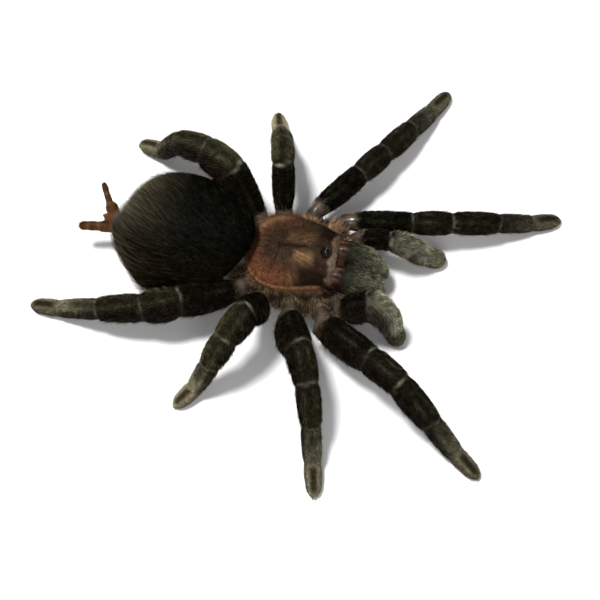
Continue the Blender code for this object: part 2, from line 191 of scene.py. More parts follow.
def paint(code: str | Array) -> Array:
    """Linear colour of a six-letter paint code.

    Args:
        code: the code, or a colour that stays as it is.

    Returns:
        The colour.
    """
    if not isinstance(code, str):
        return code
    parts = np.array([int(code[k:k + 2], 16) for k in (0, 2, 4)]) / 255
    return np.where(parts <= 0.04045, parts / 12.92, ((parts + 0.055) / 1.055) ** 2.4) * PAINT_GAIN


@dataclass(frozen=True)
class LimbSize:
    """Sizes that the left and right limb of one pair share, in mm."""

    root: tuple[float, float, float]
    hip: tuple[float, float, float]
    lengths: tuple[float, ...]
    girth: float


@dataclass(frozen=True)
class LimbPose:
    """How one limb is held: angles in degrees, tip height and fringe in mm.

    lean is the way the fringe points: 0 is straight down, and positive is away
    from the head on a right limb and towards it on a left one.
    """

    side: int
    heading: float
    turn: float
    lifts: tuple[float, ...]
    sole: float
    tip: float
    lean: float
    fringe: tuple[float, ...]
    root_hair: float = -0.6


LEG_SIZES = {
    1: LimbSize((3.7, -4.5, 6.1), (11.8, -10.0, 7.7), (14.6, 8.6, 10.9, 8.6, 7.4), 4.7),
    2: LimbSize((4.2, -1.5, 6.1), (12.5, -3.0, 8.2), (13.5, 8.2, 9.8, 8.5, 7.6), 4.7),
    3: LimbSize((4.2, 1.6, 6.1), (11.0, 3.9, 8.4), (11.7, 7.0, 8.1, 7.9, 6.6), 4.7),
    4: LimbSize((3.6, 4.7, 6.1), (9.1, 9.2, 8.0), (13.6, 8.1, 10.1, 10.3, 7.2), 4.7),
}
PALP_SIZE = LimbSize((2.3, -8.1, 5.1), (8.36, -12.7, 7.3), (8.9, 5.2, 6.0, 5.4), 4.0)
LEG_POSES = {
    (1, "left"): LimbPose(1, 80.1, -4.7, (3.1, -2.3, -13.8), -11, 0.753, 20, (0.2, 0.4, 0.5, 0.3, 0)),
    (2, "left"): LimbPose(1, 33.7, -2.6, (0.9, -6, -13.1), -10, 0.807, 40, (0.4, 0.5, 0.6, 0.5, 0)),
    (3, "left"): LimbPose(1, -13.5, -1.5, (56, -24, -52), -16, 0.633, 0, (0.4, 0.5, 0.5, 0.4, 0)),
    (4, "left"): LimbPose(1, -52, -8, (56, -10, -34), -22, 0.490, -72, (2.4, 2.8, 1.7, 0.9, 0)),
    (1, "right"): LimbPose(-1, 58.3, -0.6, (14.8, 6.3, -29.5), -12, 0.723, 70, (2.5, 1.4, 1.2, 0.6, 0), 0.7),
    (2, "right"): LimbPose(-1, 26, -3.5, (38, -5, -48), -15, 0.656, 65, (3.0, 1.1, 0.3, 0.2, 0), -0.1),
    (3, "right"): LimbPose(-1, -16.4, -6.9, (53.8, -13.7, -55.5), -20, 0.539, -70, (2.4, 1.8, 0.8, 0.3, 0)),
    (4, "right"): LimbPose(-1, -61.2, -9.1, (15.6, -12.2, -17), -10, 0.830, -70, (2.2, 2.6, 1.3, 0.3, 0)),
}
PALP_POSES = {
    "left": LimbPose(1, 92.3, -8.7, (24.4, -31.2), -30, 0.608, 0, (0.2, 0.4, 0.4, 0)),
    "right": LimbPose(-1, 98.2, -21.2, (43, -34.1), -62, -0.058, 80, (2.9, 2.0, 0.6, 0)),
}


@dataclass(frozen=True)
class Stretch:
    """Shape, hair lengths in mm and paints of one kind of limb piece."""

    taper: tuple[float, float, float]
    short: float
    long: float
    hair: str
    # flank: paint of the lower sides, which is painted shade with a painted reddish backlit rim
    flank: str
    stripe: str


# The flank paints darken and redden the lower sides of each piece as painted shade and a painted backlit rim.
STRETCHES = {
    Kind.COXA: Stretch((0.56, 0.82, 0.92), 0.75, 1.9, "352e23", "231c14", "4a4134"),
    Kind.FEMUR: Stretch((0.82, 1.04, 0.98), 0.95, 1.5, "100f07", "120c05", "0d0c06"),
    Kind.PATELLA: Stretch((0.96, 1.08, 0.95), 0.95, 1.5, "2c2a1c", "1c150a", "201e12"),
    Kind.TIBIA: Stretch((0.92, 1.03, 0.88), 1.0, 1.6, "2c2a1c", "1c150a", "201e12"),
    Kind.METATARSUS: Stretch((0.86, 0.89, 0.80), 0.8, 1.3, "4d4a3a", "332a1c", "2e2b22"),
    Kind.TARSUS: Stretch((0.79, 0.80, 0.58), 0.6, 0.9, "69634f", "4c402c", "2a2418"),
}
# How pale the patella, tibia, metatarsus and tarsus of each leg are, against the paints above: partly their
# own paler hair and partly painted sheen, which differs from leg to leg.
PALENESS_AND_SHEEN = {
    "leg_1_left": (0.50, 0.50, 0.75, 0.85), "leg_1_right": (0.50, 0.60, 1.60, 1.15),
    "leg_2_left": (0.65, 0.95, 1.25, 1.10), "leg_2_right": (0.60, 1.15, 1.80, 1.50),
    "leg_3_left": (2.20, 3.00, 3.00, 3.00), "leg_3_right": (1.60, 2.60, 3.60, 2.40),
    "leg_4_left": (2.30, 2.60, 2.00, 2.20), "leg_4_right": (0.85, 1.20, 2.60, 1.20),
    "palp_left": (0.65, 0.68, 0.75), "palp_right": (1.10, 1.20, 0.40),
}
# Hair, flank and stripe paints of the feelers; the flank is painted shade with a painted backlit rim.
PALP_PAINTS = {
    Kind.FEMUR: ("090804", "080603", "080704"),
    Kind.PATELLA: ("7d7b67", "1e1a10", "6e6c58"),
    Kind.TIBIA: ("84826e", "221e13", "7f7d69"),
    Kind.TARSUS: ("7d7964", "2c2416", "6f6b56"),
}
PALP_TAPERS = {
    Kind.COXA: (0.42, 0.62, 0.78),
    Kind.PATELLA: (1.10, 1.26, 1.20),
    Kind.TIBIA: (1.18, 1.26, 1.12),
    Kind.TARSUS: (1.10, 1.12, 0.84),
}
LEG_KINDS = tuple(Kind)
PALP_KINDS = (Kind.COXA, Kind.FEMUR, Kind.PATELLA, Kind.TIBIA, Kind.TARSUS)
LIMB_COAT = 0.15 * MM             # between the skin and the solid
# How strongly the bare line along the top shows on each kind of piece.
BARE_LINES = {Kind.FEMUR: 0.3, Kind.PATELLA: 0.6, Kind.TIBIA: 0.5}


def parabola(values: tuple[float, float, float], t: Array) -> Array:
    """Follows start, middle and end values smoothly as t goes from 0 to 1."""
    start, middle, end = values
    return start * (1 - t) * (1 - 2 * t) + 4 * middle * t * (1 - t) + end * t * (2 * t - 1)


def ease(low: float, high: float, x: Array) -> Array:
    """Rises smoothly from 0 at low to 1 at high."""
    t = np.clip((x - low) / (high - low), 0.0, 1.0)
    return t * t * (3 - 2 * t)


def bell(x: Array, middle: float, spread: float) -> Array:
    """A bell of height 1 round middle."""
    return np.exp(-(((x - middle) / spread) ** 2))


def nose(t: Array, start: float, run: float) -> Array:
    """Share of its width that a tube keeps as it rounds off over a run from start."""
    return np.sqrt(np.maximum(0.02, 1 - np.clip((t - start) / run, 0, 1) ** 2))


def unit(v: Array) -> Array:
    """Scales vectors to length 1."""
    return v / np.maximum(np.linalg.norm(v, axis=-1, keepdims=True), 1e-12)


def mix(a: Array, b: Array, share: Array) -> Array:
    """Moves colours from a to b by share."""
    share = np.clip(np.asarray(share, float), 0, 1)[..., None]
    return a * (1 - share) + b * share


def lay_over(colour: Paint | Array, *layers: tuple[Paint | Array, Array]) -> Array:
    """Lays paints over a colour, one after the other.

    Args:
        colour: the paint or colour that they cover.
        layers: each paint or colour, with the share that it covers.

    Returns:
        The colour of them all together.
    """
    for cover, share in layers:
        colour = mix(paint(colour), paint(cover), share)
    return colour


def direction(side: int, heading: float, lift: float) -> Array:
    """Unit vector of a limb piece, from its angles in degrees towards the head and upwards."""
    ahead, up = radians(heading), radians(lift)
    return np.array((side * cos(ahead) * cos(up), -sin(ahead) * cos(up), sin(up)))


def round_turns(sides: int) -> Array:
    """Angles round a ring, from -pi to pi, with 0 on top."""
    return np.linspace(-pi, pi, sides, endpoint=False)


def run_of(points: Array) -> Array:
    """Distance of each point of a line from its start."""
    return np.concatenate(([0.0], np.cumsum(np.linalg.norm(np.diff(points, axis=0), axis=1))))


def piece_at(marks: Array, arc: Array) -> Array:
    """Number of the piece between two marks in which each distance lies."""
    return np.clip(np.searchsorted(marks, arc, side="right") - 1, 0, len(marks) - 2)


def along_path(knots: Array, arc: Array) -> Array:
    """Points at given distances along a line of knots, run on past its ends.

    Args:
        knots: the corners of the line.
        arc: distances from its start.

    Returns:
        The points.
    """
    marks = run_of(knots)
    piece = piece_at(marks, arc)
    t = ((arc - marks[piece]) / (marks[piece + 1] - marks[piece]))[:, None]
    return knots[piece] * (1 - t) + knots[piece + 1] * t


def rounded_path(knots: Array, arc: Array, window: float) -> Array:
    """Points along a line of knots, with its corners rounded over a window."""
    near = along_path(knots, arc + window) + along_path(knots, arc - window)
    return 0.5 * along_path(knots, arc) + 0.25 * near


@dataclass
class Tube:
    """Rings of points swept along a spine."""

    points: Array
    along: Array
    across: Array
    top: Array


def sweep(spine: Array, wide: Array, tall: Array, sides: int) -> Tube:
    """Sweeps ellipses along a spine.

    Args:
        spine: centre of each ring.
        wide: half width of each ring.
        tall: half height of each ring.
        sides: points round a ring.

    Returns:
        The tube, with its ring directions.
    """
    along = unit(np.gradient(spine, axis=0))
    across = unit(np.cross(along, UP))
    top = unit(np.cross(across, along))
    turn = round_turns(sides)[None, :, None]
    rim = across[:, None] * np.sin(turn) * np.broadcast_to(wide, len(spine))[:, None, None]
    rim = rim + top[:, None] * np.cos(turn) * np.broadcast_to(tall, len(spine))[:, None, None]
    return Tube(spine[:, None] + rim, along, across, top)


def ball(centre: Array, radii: tuple[float, float, float], way: Array, sides: int = 18) -> Tube:
    """A closed ball whose second radius lies along way.

    Args:
        centre: its middle.
        radii: its half width, half length and half height.
        way: where its length lies.
        sides: points round a ring.

    Returns:
        The ball as a tube.
    """
    polar = np.linspace(0.12, pi - 0.12, sides - 5)
    spine = centre + way * (-radii[1] * np.cos(polar))[:, None]
    return sweep(spine, radii[0] * np.sin(polar), radii[2] * np.sin(polar), sides)


def make_object(name: str, grids: list[Array]) -> bpy.types.Object:
    """Builds closed tubes as one mesh object that faces outwards.

    Args:
        name: name of the object.
        grids: rings of points of each tube.

    Returns:
        The object, linked to the scene.
    """
    faces: list[tuple[int, ...]] = []
    offset = 0
    for grid in grids:
        rows, columns = grid.shape[:2]
        for r in range(rows - 1):
            a = offset + r * columns
            for c in range(columns):
                d = (c + 1) % columns
                faces.append((a + c, a + d, a + columns + d, a + columns + c))
        last = offset + (rows - 1) * columns
        faces.append(tuple(offset + c for c in reversed(range(columns))))
        faces.append(tuple(last + c for c in range(columns)))
        offset += rows * columns
    mesh = bpy.data.meshes.new(name)
    points = np.concatenate([grid.reshape(-1, 3) for grid in grids])
    mesh.from_pydata(points.tolist(), [], faces, shade_flat=False)
    turn_out(mesh)
    return link(name, mesh)


def turn_out(mesh: bpy.types.Mesh) -> None:
    """Makes every face of a closed mesh point outwards.

    Args:
        mesh: the mesh.
    """
    bm = bmesh.new()
    bm.from_mesh(mesh)
    bmesh.ops.recalc_face_normals(bm, faces=bm.faces)
    bm.to_mesh(mesh)
    bm.free()


def link(name: str, data: bpy.types.ID) -> bpy.types.Object:
    """Puts an object with the given data in the scene.

    Args:
        name: name of the object.
        data: its mesh, lamp or camera.

    Returns:
        The object.
    """
    made = bpy.data.objects.new(name, data)
    bpy.context.scene.collection.objects.link(made)
    return made


def plain_mesh(made: bpy.types.Object) -> bpy.types.Mesh:
    """Turns an object and its modifiers into a plain mesh."""
    graph = bpy.context.evaluated_depsgraph_get()
    return bpy.data.meshes.new_from_object(made.evaluated_get(graph), depsgraph=graph)


# What every point of a surface bears, with its value where nothing else is said.
MARKS = {
    "skin_colour": (0.02, 0.015, 0.01), "coat_colour": (0.02, 0.015, 0.01),
    "coat_lie": (0.0, 1.0, 0.0), "combed": (0.0, 0.0, 0.0), "coat_stand": radians(18),
    "short_length": 0.8 * MM, "short_share": 1.0, "long_length": 1.5 * MM, "long_share": 0.0,
    "gloss": 0.0,
}


@dataclass
class Form:
    """A closed tube of skin as rings of points, with what each point bears."""

    name: str
    points: Array
    zone: Zone
    marks: dict[str, object]
    place: tuple[float, float, float, float] = (0.0, 0.0, 1.0, 1.0)

    def column(self, name: str) -> Array:
        """One mark, spread over every point of the form.

        Args:
            name: name of the mark.

        Returns:
            One value, or one row, for each point.
        """
        shape = self.points.shape[:2]
        if name == "unwrap":
            u, v = np.meshgrid(*(np.linspace(0, 1, n) for n in shape), indexing="ij")
            x, y, wide, high = self.place
            return np.stack((x + u * wide, y + v * high), axis=-1).reshape(-1, 2)
        if name == "zone":
            return np.broadcast_to(self.marks.get("zone", float(self.zone.value)), shape).reshape(-1)
        value = np.asarray(self.marks.get(name, MARKS[name]), float)
        if np.ndim(MARKS[name]):
            return np.broadcast_to(value, shape + (3,)).reshape(-1, 3)
        return np.broadcast_to(value, shape).reshape(-1)

    def span(self) -> tuple[float, float]:
        """Length and mean girth of the tube, in metres."""
        step = np.diff(self.points, axis=1, append=self.points[:, :1])
        return (float(run_of(self.points.mean(axis=1))[-1]),
                float(np.linalg.norm(step, axis=2).sum(axis=1).mean()))


def lay_marks(mesh: bpy.types.Mesh, columns: dict[str, Array]) -> None:
    """Stores marks on a mesh, one value for each vertex.

    Args:
        mesh: the mesh.
        columns: the values under the name of each mark.
    """
    for name, values in columns.items():
        kind, key = "FLOAT", "value"
        if name.endswith("colour"):
            kind, key = "FLOAT_COLOR", "color"
            values = np.concatenate((values, np.ones((len(values), 1))), axis=1)
        elif values.ndim == 2:
            kind, key = ("FLOAT2" if values.shape[1] == 2 else "FLOAT_VECTOR"), "vector"
        store = mesh.attributes.get(name) or mesh.attributes.new(name, kind, "POINT")
        store.data.foreach_set(key, np.ascontiguousarray(values, dtype=np.float32).ravel())


def pack_pattern(forms: list[Form]) -> None:
    """Lays every form's unrolled rectangle on one flat square, in shelves.

    Args:
        forms: the forms, which are told their places on the square.
    """
    spans = {form.name: form.span() for form in forms}
    side = 1.1 * sqrt(sum(a * b for a, b in spans.values()))
    margin = 0.006
    fits = False
    while not fits:
        x, y, shelf, fits = margin, margin, 0.0, True
        for form in sorted(forms, key=lambda f: -spans[f.name][1]):
            wide, high = spans[form.name][0] / side, spans[form.name][1] / side
            if x + wide > 1 - margin:
                x, y, shelf = margin, y + shelf + margin, 0.0
            fits = fits and x + wide < 1 - margin and y + high < 1 - margin
            form.place = (x, y, wide, high)
            x += wide + margin
            shelf = max(shelf, high)
        side *= 1.04


# ---------------- the limbs


@dataclass
class Limb:
    """A leg or feeler: its joints, its tube of skin and its claws."""

    name: str
    size: LimbSize
    pose: LimbPose
    zone: Zone
    origin: Array

    @property
    def kinds(self) -> tuple[Kind, ...]:
        """Kinds of the limb's pieces, from the coxa out."""
        return LEG_KINDS if len(self.size.lengths) == 5 else PALP_KINDS

    @property
    def feeler(self) -> bool:
        """Whether the limb is one of the two feelers beside the jaws."""
        return self.kinds is PALP_KINDS

    def joints(self) -> Array:
        """Joint positions from the limb's root by the trunk to its tip.

        Returns:
            The positions, one row each.
        """
        size, pose = self.size, self.pose
        mirror = np.array((pose.side, 1, 1)) * MM
        points = [np.array(size.root) * mirror, np.array(size.hip) * mirror]
        lengths = [length * MM for length in size.lengths]
        bends = len(lengths) - 2
        for k in range(bends):
            way = direction(pose.side, pose.heading + pose.turn * k, pose.lifts[k])
            points.append(points[-1] + way * lengths[k])
        heading = pose.heading + pose.turn * bends
        ankle = pose.tip * MM - lengths[-1] * sin(radians(pose.sole))
        drop = (ankle - points[-1][2]) / lengths[-2]
        slope = degrees(asin(max(-1.0, min(1.0, drop))))
        points.append(points[-1] + direction(pose.side, heading, slope) * lengths[-2])
        points.append(points[-1] + direction(pose.side, heading, pose.sole) * lengths[-1])
        return np.array(points) + self.origin

    def form(self) -> Form:
        """Builds the limb's tube of skin with all that grows on it.

        Returns:
            The limb's form.
        """
        joints = self.joints()
        runs = np.linalg.norm(np.diff(joints, axis=0), axis=1)
        marks = run_of(joints)
        total = marks[-1] - 0.2 * MM
        arc = np.linspace(0.0, total, int(total / STEP))
        spine = rounded_path(joints, arc, 0.8 * MM)
        piece = piece_at(marks, arc)
        t = np.clip((arc - marks[piece]) / runs[piece], 0.0, 1.0)
        radius = self.radius(arc, marks, piece, t)
        tube = sweep(spine, radius, radius * LIMB_TALL, SIDES)
        turn = round_turns(SIDES)
        depth, hang = self.fringe(tube, piece, t)
        lean = radians(self.pose.lean)
        lobe = np.maximum(0.0, np.cos(turn - (pi - lean))) ** 1.5
        fringe = depth[:, None] * lobe[None, :]
        points = tube.points + hang[:, None] * (SKIN_LIFT * fringe)[..., None]
        points[..., 2] = np.maximum(points[..., 2], SOLE)
        bears = self.bears(arc, marks, turn, fringe)
        share = np.clip(fringe / FRINGE_FULL, 0, 1)[..., None]
        bears["coat_lie"] = unit(tube.along[:, None] + 0.42 * share * hang[:, None])
        bears["combed"] = np.stack(np.broadcast_arrays(arc[:, None], turn * radius[:, None], 0.0), axis=-1)
        return Form(self.name, points, self.zone, bears)

    @property
    def ball(self) -> float:
        """How far past the coxa the middle of the trochanter's ball lies."""
        return (1.0 if self.size.hip[1] < 0 else 0.2) * MM

    def radius(self, arc: Array, marks: Array, piece: Array, t: Array) -> Array:
        """Half width of the skin along the limb.

        Args:
            arc: distance of each ring from the root.
            marks: distance of each joint from the root.
            piece: number of the piece that each ring lies on.
            t: share of the way along that piece.

        Returns:
            The half width at each ring.
        """
        girth = self.size.girth * MM
        radius = np.zeros_like(arc)
        for k, kind in enumerate(self.kinds):
            taper = STRETCHES[kind].taper
            if self.feeler:
                taper = PALP_TAPERS.get(kind, taper)
            radius = np.where(piece == k, 0.5 * girth * parabola(taper, t) - LIMB_COAT, radius)
        kernel = np.ones(5) / 5
        radius = np.convolve(np.pad(radius, 2, mode="edge"), kernel, mode="valid")
        necks = (marks[1] + self.ball + 1.5 * MM, *marks[2:-1])
        for k, neck in enumerate(necks):
            pinch = ANKLE_PINCH if k == len(necks) - 1 else JOINT_PINCH
            radius = radius * (1 - pinch * bell(arc, neck, 0.5 * MM))
        radius = radius * (1 - BALL_PINCH * bell(arc, marks[1] + self.ball - 1.7 * MM, 0.6 * MM))
        reach = TIP_REACH * girth * 1.3
        end = np.clip((arc - (arc[-1] - reach)) / reach, 0.0, 1.0)
        return radius * np.sqrt(np.maximum(1 - end ** 2, 0.003))

    def fringe(self, tube: Tube, piece: Array, t: Array) -> tuple[Array, Array]:
        """Depth of the fringe's lobe along the limb, and the way it hangs.

        Args:
            tube: the limb's rings.
            piece: number of the piece that each ring lies on.
            t: share of the way along that piece.

        Returns:
            The depth and the direction at each ring.
        """
        lean = radians(self.pose.lean)
        hair = [self.pose.root_hair * self.pose.fringe[0], *self.pose.fringe, 0.0]
        depth = np.zeros_like(t)
        for k in range(1, len(self.kinds)):
            values = (0.5 * (hair[k - 1] + hair[k]), hair[k], 0.5 * (hair[k] + hair[k + 1]))
            depth = np.where(piece == k, parabola(values, t), depth)
        hang = tube.across * sin(lean) - tube.top * cos(lean)
        return np.maximum(depth, 0.0) * MM, hang

    def tint(self, k: int, along: Array, out: Array, shade: Array) -> Array:
        """Colour of the hair all round one piece of the limb, with its stripe, its flanks in painted shade
        with a painted backlit rim, and painted shade on its dark side.

        Args:
            k: number of the piece, from the coxa out.
            along: share of the way along the piece at every point.
            out: angle of every point from the top.
            shade: how far every point lies in the painted shade of the dark side.

        Returns:
            The colour at every point.
        """
        kind = self.kinds[k]
        look = STRETCHES[kind]
        codes = (look.hair, look.flank, look.stripe)
        if self.feeler:
            codes = PALP_PAINTS.get(kind, codes)
        hair, flank, stripe = (paint(code) for code in codes)
        dark = 1 - ease(radians(8), radians(34), out)
        # Past the femur each piece is paler, partly from its own hair and partly from painted sheen.
        if k > 1:
            pale = PALENESS_AND_SHEEN[self.name][k - 2]
            hair, flank, stripe = hair * pale, flank * sqrt(pale), stripe * sqrt(pale)
        if kind is Kind.METATARSUS:
            rise = ease(0.0, 0.80, along) * (0.6 + 0.4 * ease(0.3, 1.0, out))
            hair = mix(0.35 * hair, 1.25 * hair, rise)
            dark = dark * (1 - ease(0.35, 0.7, along))
        if kind is Kind.TIBIA and not self.feeler:
            hair = mix(0.80 * hair, 1.25 * hair, ease(0.2, 0.9, along))
        if kind is Kind.FEMUR:
            hair = mix(hair, 3.0 * hair, 0.8 * ease(0.80, 1.0, along))
        if kind is Kind.TARSUS:
            dark = (1 - ease(radians(13), radians(38), out)) * ease(0.02, 0.20, along)
            dark = dark * (1 - ease(0.70, 0.98, along))
            shade = 0.5 * shade
        # The flank paint on the lower half is painted shade with a painted reddish backlit rim.
        tint = mix(mix(hair, stripe, dark), flank, 0.8 * self.low_side(out))
        if k:
            # A painted backlit rim just below each side, then painted shade on the dark side.
            tint = lay_over(tint, (Paint.SIDE_LINE, 0.30 * bell(out, radians(98), radians(16))),
                            (Paint.FRINGE, 0.85 * shade))
        if self.feeler and kind is Kind.TARSUS:
            tint = lay_over(tint, (Paint.FEELER_TIP, 0.8 * ease(0.55, 0.95, along)))
        return tint

    def low_side(self, out: Array) -> Array:
        """How far points at an angle from the top lie on the lower half."""
        return ease(radians(56 if self.feeler else 66), radians(116), out)

    def bands(self, arc: Array, marks: Array, turn: Array) -> tuple[Array, ...]:
        """Masks of what circles the limb at its joints.

        Args:
            arc: distance of each ring from the root.
            marks: distance of each joint from the root.
            turn: angle of each point round its ring.

        Returns:
            The pale cuffs, the creases beyond them, which carry painted shade, and the trimmed hair before
            them.
        """
        shape = (len(arc), len(turn))
        cuff, crease, trim = np.zeros(shape), np.zeros(shape), np.zeros(shape)
        for k, mark in enumerate(marks[2:-1]):
            ragged = 0.75 + 0.25 * np.sin(3 * turn + 2.1 * k + 40 * marks[1] / MM)
            spot = mark + (0.12 * MM) * np.sin(2 * turn + k)[None, :]
            cuff = np.maximum(cuff, bell(arc[:, None], spot - 0.20 * MM, 0.11 * MM) * ragged)
            crease = np.maximum(crease, bell(arc[:, None], spot + 0.22 * MM, 0.26 * MM))
            trim = np.maximum(trim, bell(arc, mark - 0.50 * MM, 0.40 * MM)[:, None] * np.ones(shape))
        return cuff, crease, trim

    def bears(self, arc: Array, marks: Array, turn: Array, fringe: Array) -> dict[str, object]:
        """Colours of the tube and lengths of its hair.

        Args:
            arc: distance of each ring from the root.
            marks: distance of each joint from the root.
            turn: angle of each point round its ring.
            fringe: depth of the fringe at every point.

        Returns:
            The marks of the limb's form.
        """
        shape = fringe.shape
        marks = marks.copy()
        left_front = self.pose.side > 0 and self.size.hip[1] < -5
        marks[1] += self.ball + (1.4 if left_front else 0.8) * MM
        piece = piece_at(marks, arc)
        t = np.clip((arc - marks[piece]) / np.diff(marks)[piece], 0.0, 1.0)
        out = np.abs(np.broadcast_to(turn, shape))
        # Painted shade on the side the fringe leans to, in the fringe's dark red-brown.
        away = np.cos(np.broadcast_to(turn, shape) - (pi - radians(self.pose.lean)))
        shade = ease(0.15, 0.65, away) * (1.0 if self.pose.fringe[0] > 1 else 0.0)
        along = np.broadcast_to(t[:, None], shape)
        bare_line = bell(out, radians(25), radians(6)) * ease(0.06, 0.22, along)
        bare_line = bare_line * (1 - ease(0.72, 0.92, along))
        bare_line = bare_line * (0.55 + 0.45 * np.sin(7 * along + 3 * marks[1] / MM))
        skin, coat = np.zeros(shape + (3,)), np.zeros(shape + (3,))
        short, long = np.zeros(shape), np.zeros(shape)
        for k, kind in enumerate(self.kinds):
            bare = bare_line * BARE_LINES.get(kind, 0.0)
            tint = lay_over(self.tint(k, along, out, shade), (Paint.BARE_HAIR, 0.8 * bare))
            here = (piece == k)[:, None]
            skin = np.where(here[..., None], lay_over(0.55 * tint, (Paint.BARE_SKIN, bare)), skin)
            coat = np.where(here[..., None], tint, coat)
            short = np.where(here, STRETCHES[kind].short * MM * (1 - 0.6 * bare), short)
            long = np.where(here, STRETCHES[kind].long * MM, long)
        cuff, crease, trim = self.bands(arc, marks, turn)
        hip = np.broadcast_to(bell(arc, marks[1] - 1.3 * MM, 0.8 * MM)[:, None], shape)
        hip = hip * ease(-0.1, 0.6, np.cos(turn))
        share = np.clip(fringe / FRINGE_FULL, 0, 1)
        coxa = (piece == 0)[:, None] * np.ones(shape)
        near = bell(arc, marks[1] - 2.4 * MM, 1.7 * MM)[:, None] * coxa
        pale_coxa = self.pose.side > 0 or self.size.hip[1] > 0
        inner = coxa * (1 - ease(0.45, 0.8, along)) * (0.9 if pale_coxa else 0.12)
        # Painted shade in the crease beyond each cuff.
        crease_shade = (1 - 0.6 * crease)[..., None]
        coat = lay_over(lay_over(coat, (Paint.CUFF, 0.85 * cuff)) * crease_shade, (Paint.INNER_COXA, inner),
                        (Paint.BALL_HAIR, 0.8 * hip), (Paint.FRINGE, 0.75 * share))
        skin = lay_over(lay_over(skin, (Paint.CUFF, 0.8 * cuff)) * crease_shade, (Paint.FRINGE, 0.7 * share),
                        (Paint.BALL_SKIN, 0.95 * hip))
        short = short * (1 - 0.45 * np.maximum(trim, crease)) * (1 - 0.45 * cuff) * (1 - 0.65 * near)
        long_share = np.clip(0.50 + 0.3 * self.low_side(out) + 0.8 * share + 1.2 * coxa, 0, 1)
        return {"skin_colour": skin, "coat_colour": coat, "gloss": hip,
                "zone": np.where(coxa > 0, Zone.HIP.value, self.zone.value),
                "short_length": short, "short_share": 1 - 0.93 * hip,
                "long_length": long * (1 + 0.3 * share) * (1 - 0.85 * near) * (1 - 0.35 * trim),
                "long_share": long_share * (1 - 0.95 * hip),
                "coat_stand": radians(16) - radians(4) * share - radians(2) * coxa}

    def claws(self) -> list[Array]:
        """Rings of the two little claws at the tip.

        Returns:
            The points of each claw.
        """
        joints = self.joints()
        along = unit(joints[-1] - joints[-2])
        across = unit(np.cross(along, UP))
        t = np.linspace(0, 1, 8)[:, None]
        made = []
        for side in (-1, 1):
            root = joints[-1] - along * 0.75 * MM + across * (side * 0.26 * MM)
            spine = root + along * (1.05 * MM * t) - UP * (0.5 * MM * t ** 2) + across * (side * 0.1 * MM * t)
            spine[:, 2] = np.maximum(spine[:, 2], 0.14 * MM)
            wide = 0.12 * MM * (1 - 0.85 * t[:, 0])
            made.append(sweep(spine, wide, wide, 8).points)
        return made


# ---------------- the body


# Pale streaks at the base of a jaw: angle and half width in degrees, strength, share of the jaw.
JAW_STREAKS = ((-46.0, 4.5, 0.5, 0.34), (-14.0, 4.0, 0.8, 0.40),
               (18.0, 6.0, 0.6, 0.36), (50.0, 4.0, 0.4, 0.30))
JAW_ASIDE = 3.15 * MM             # middle of a jaw from the middle of the head
JAW_COAT = 0.30 * MM              # between the jaw's skin and the solid
ABDOMEN_COAT = 0.5 * MM


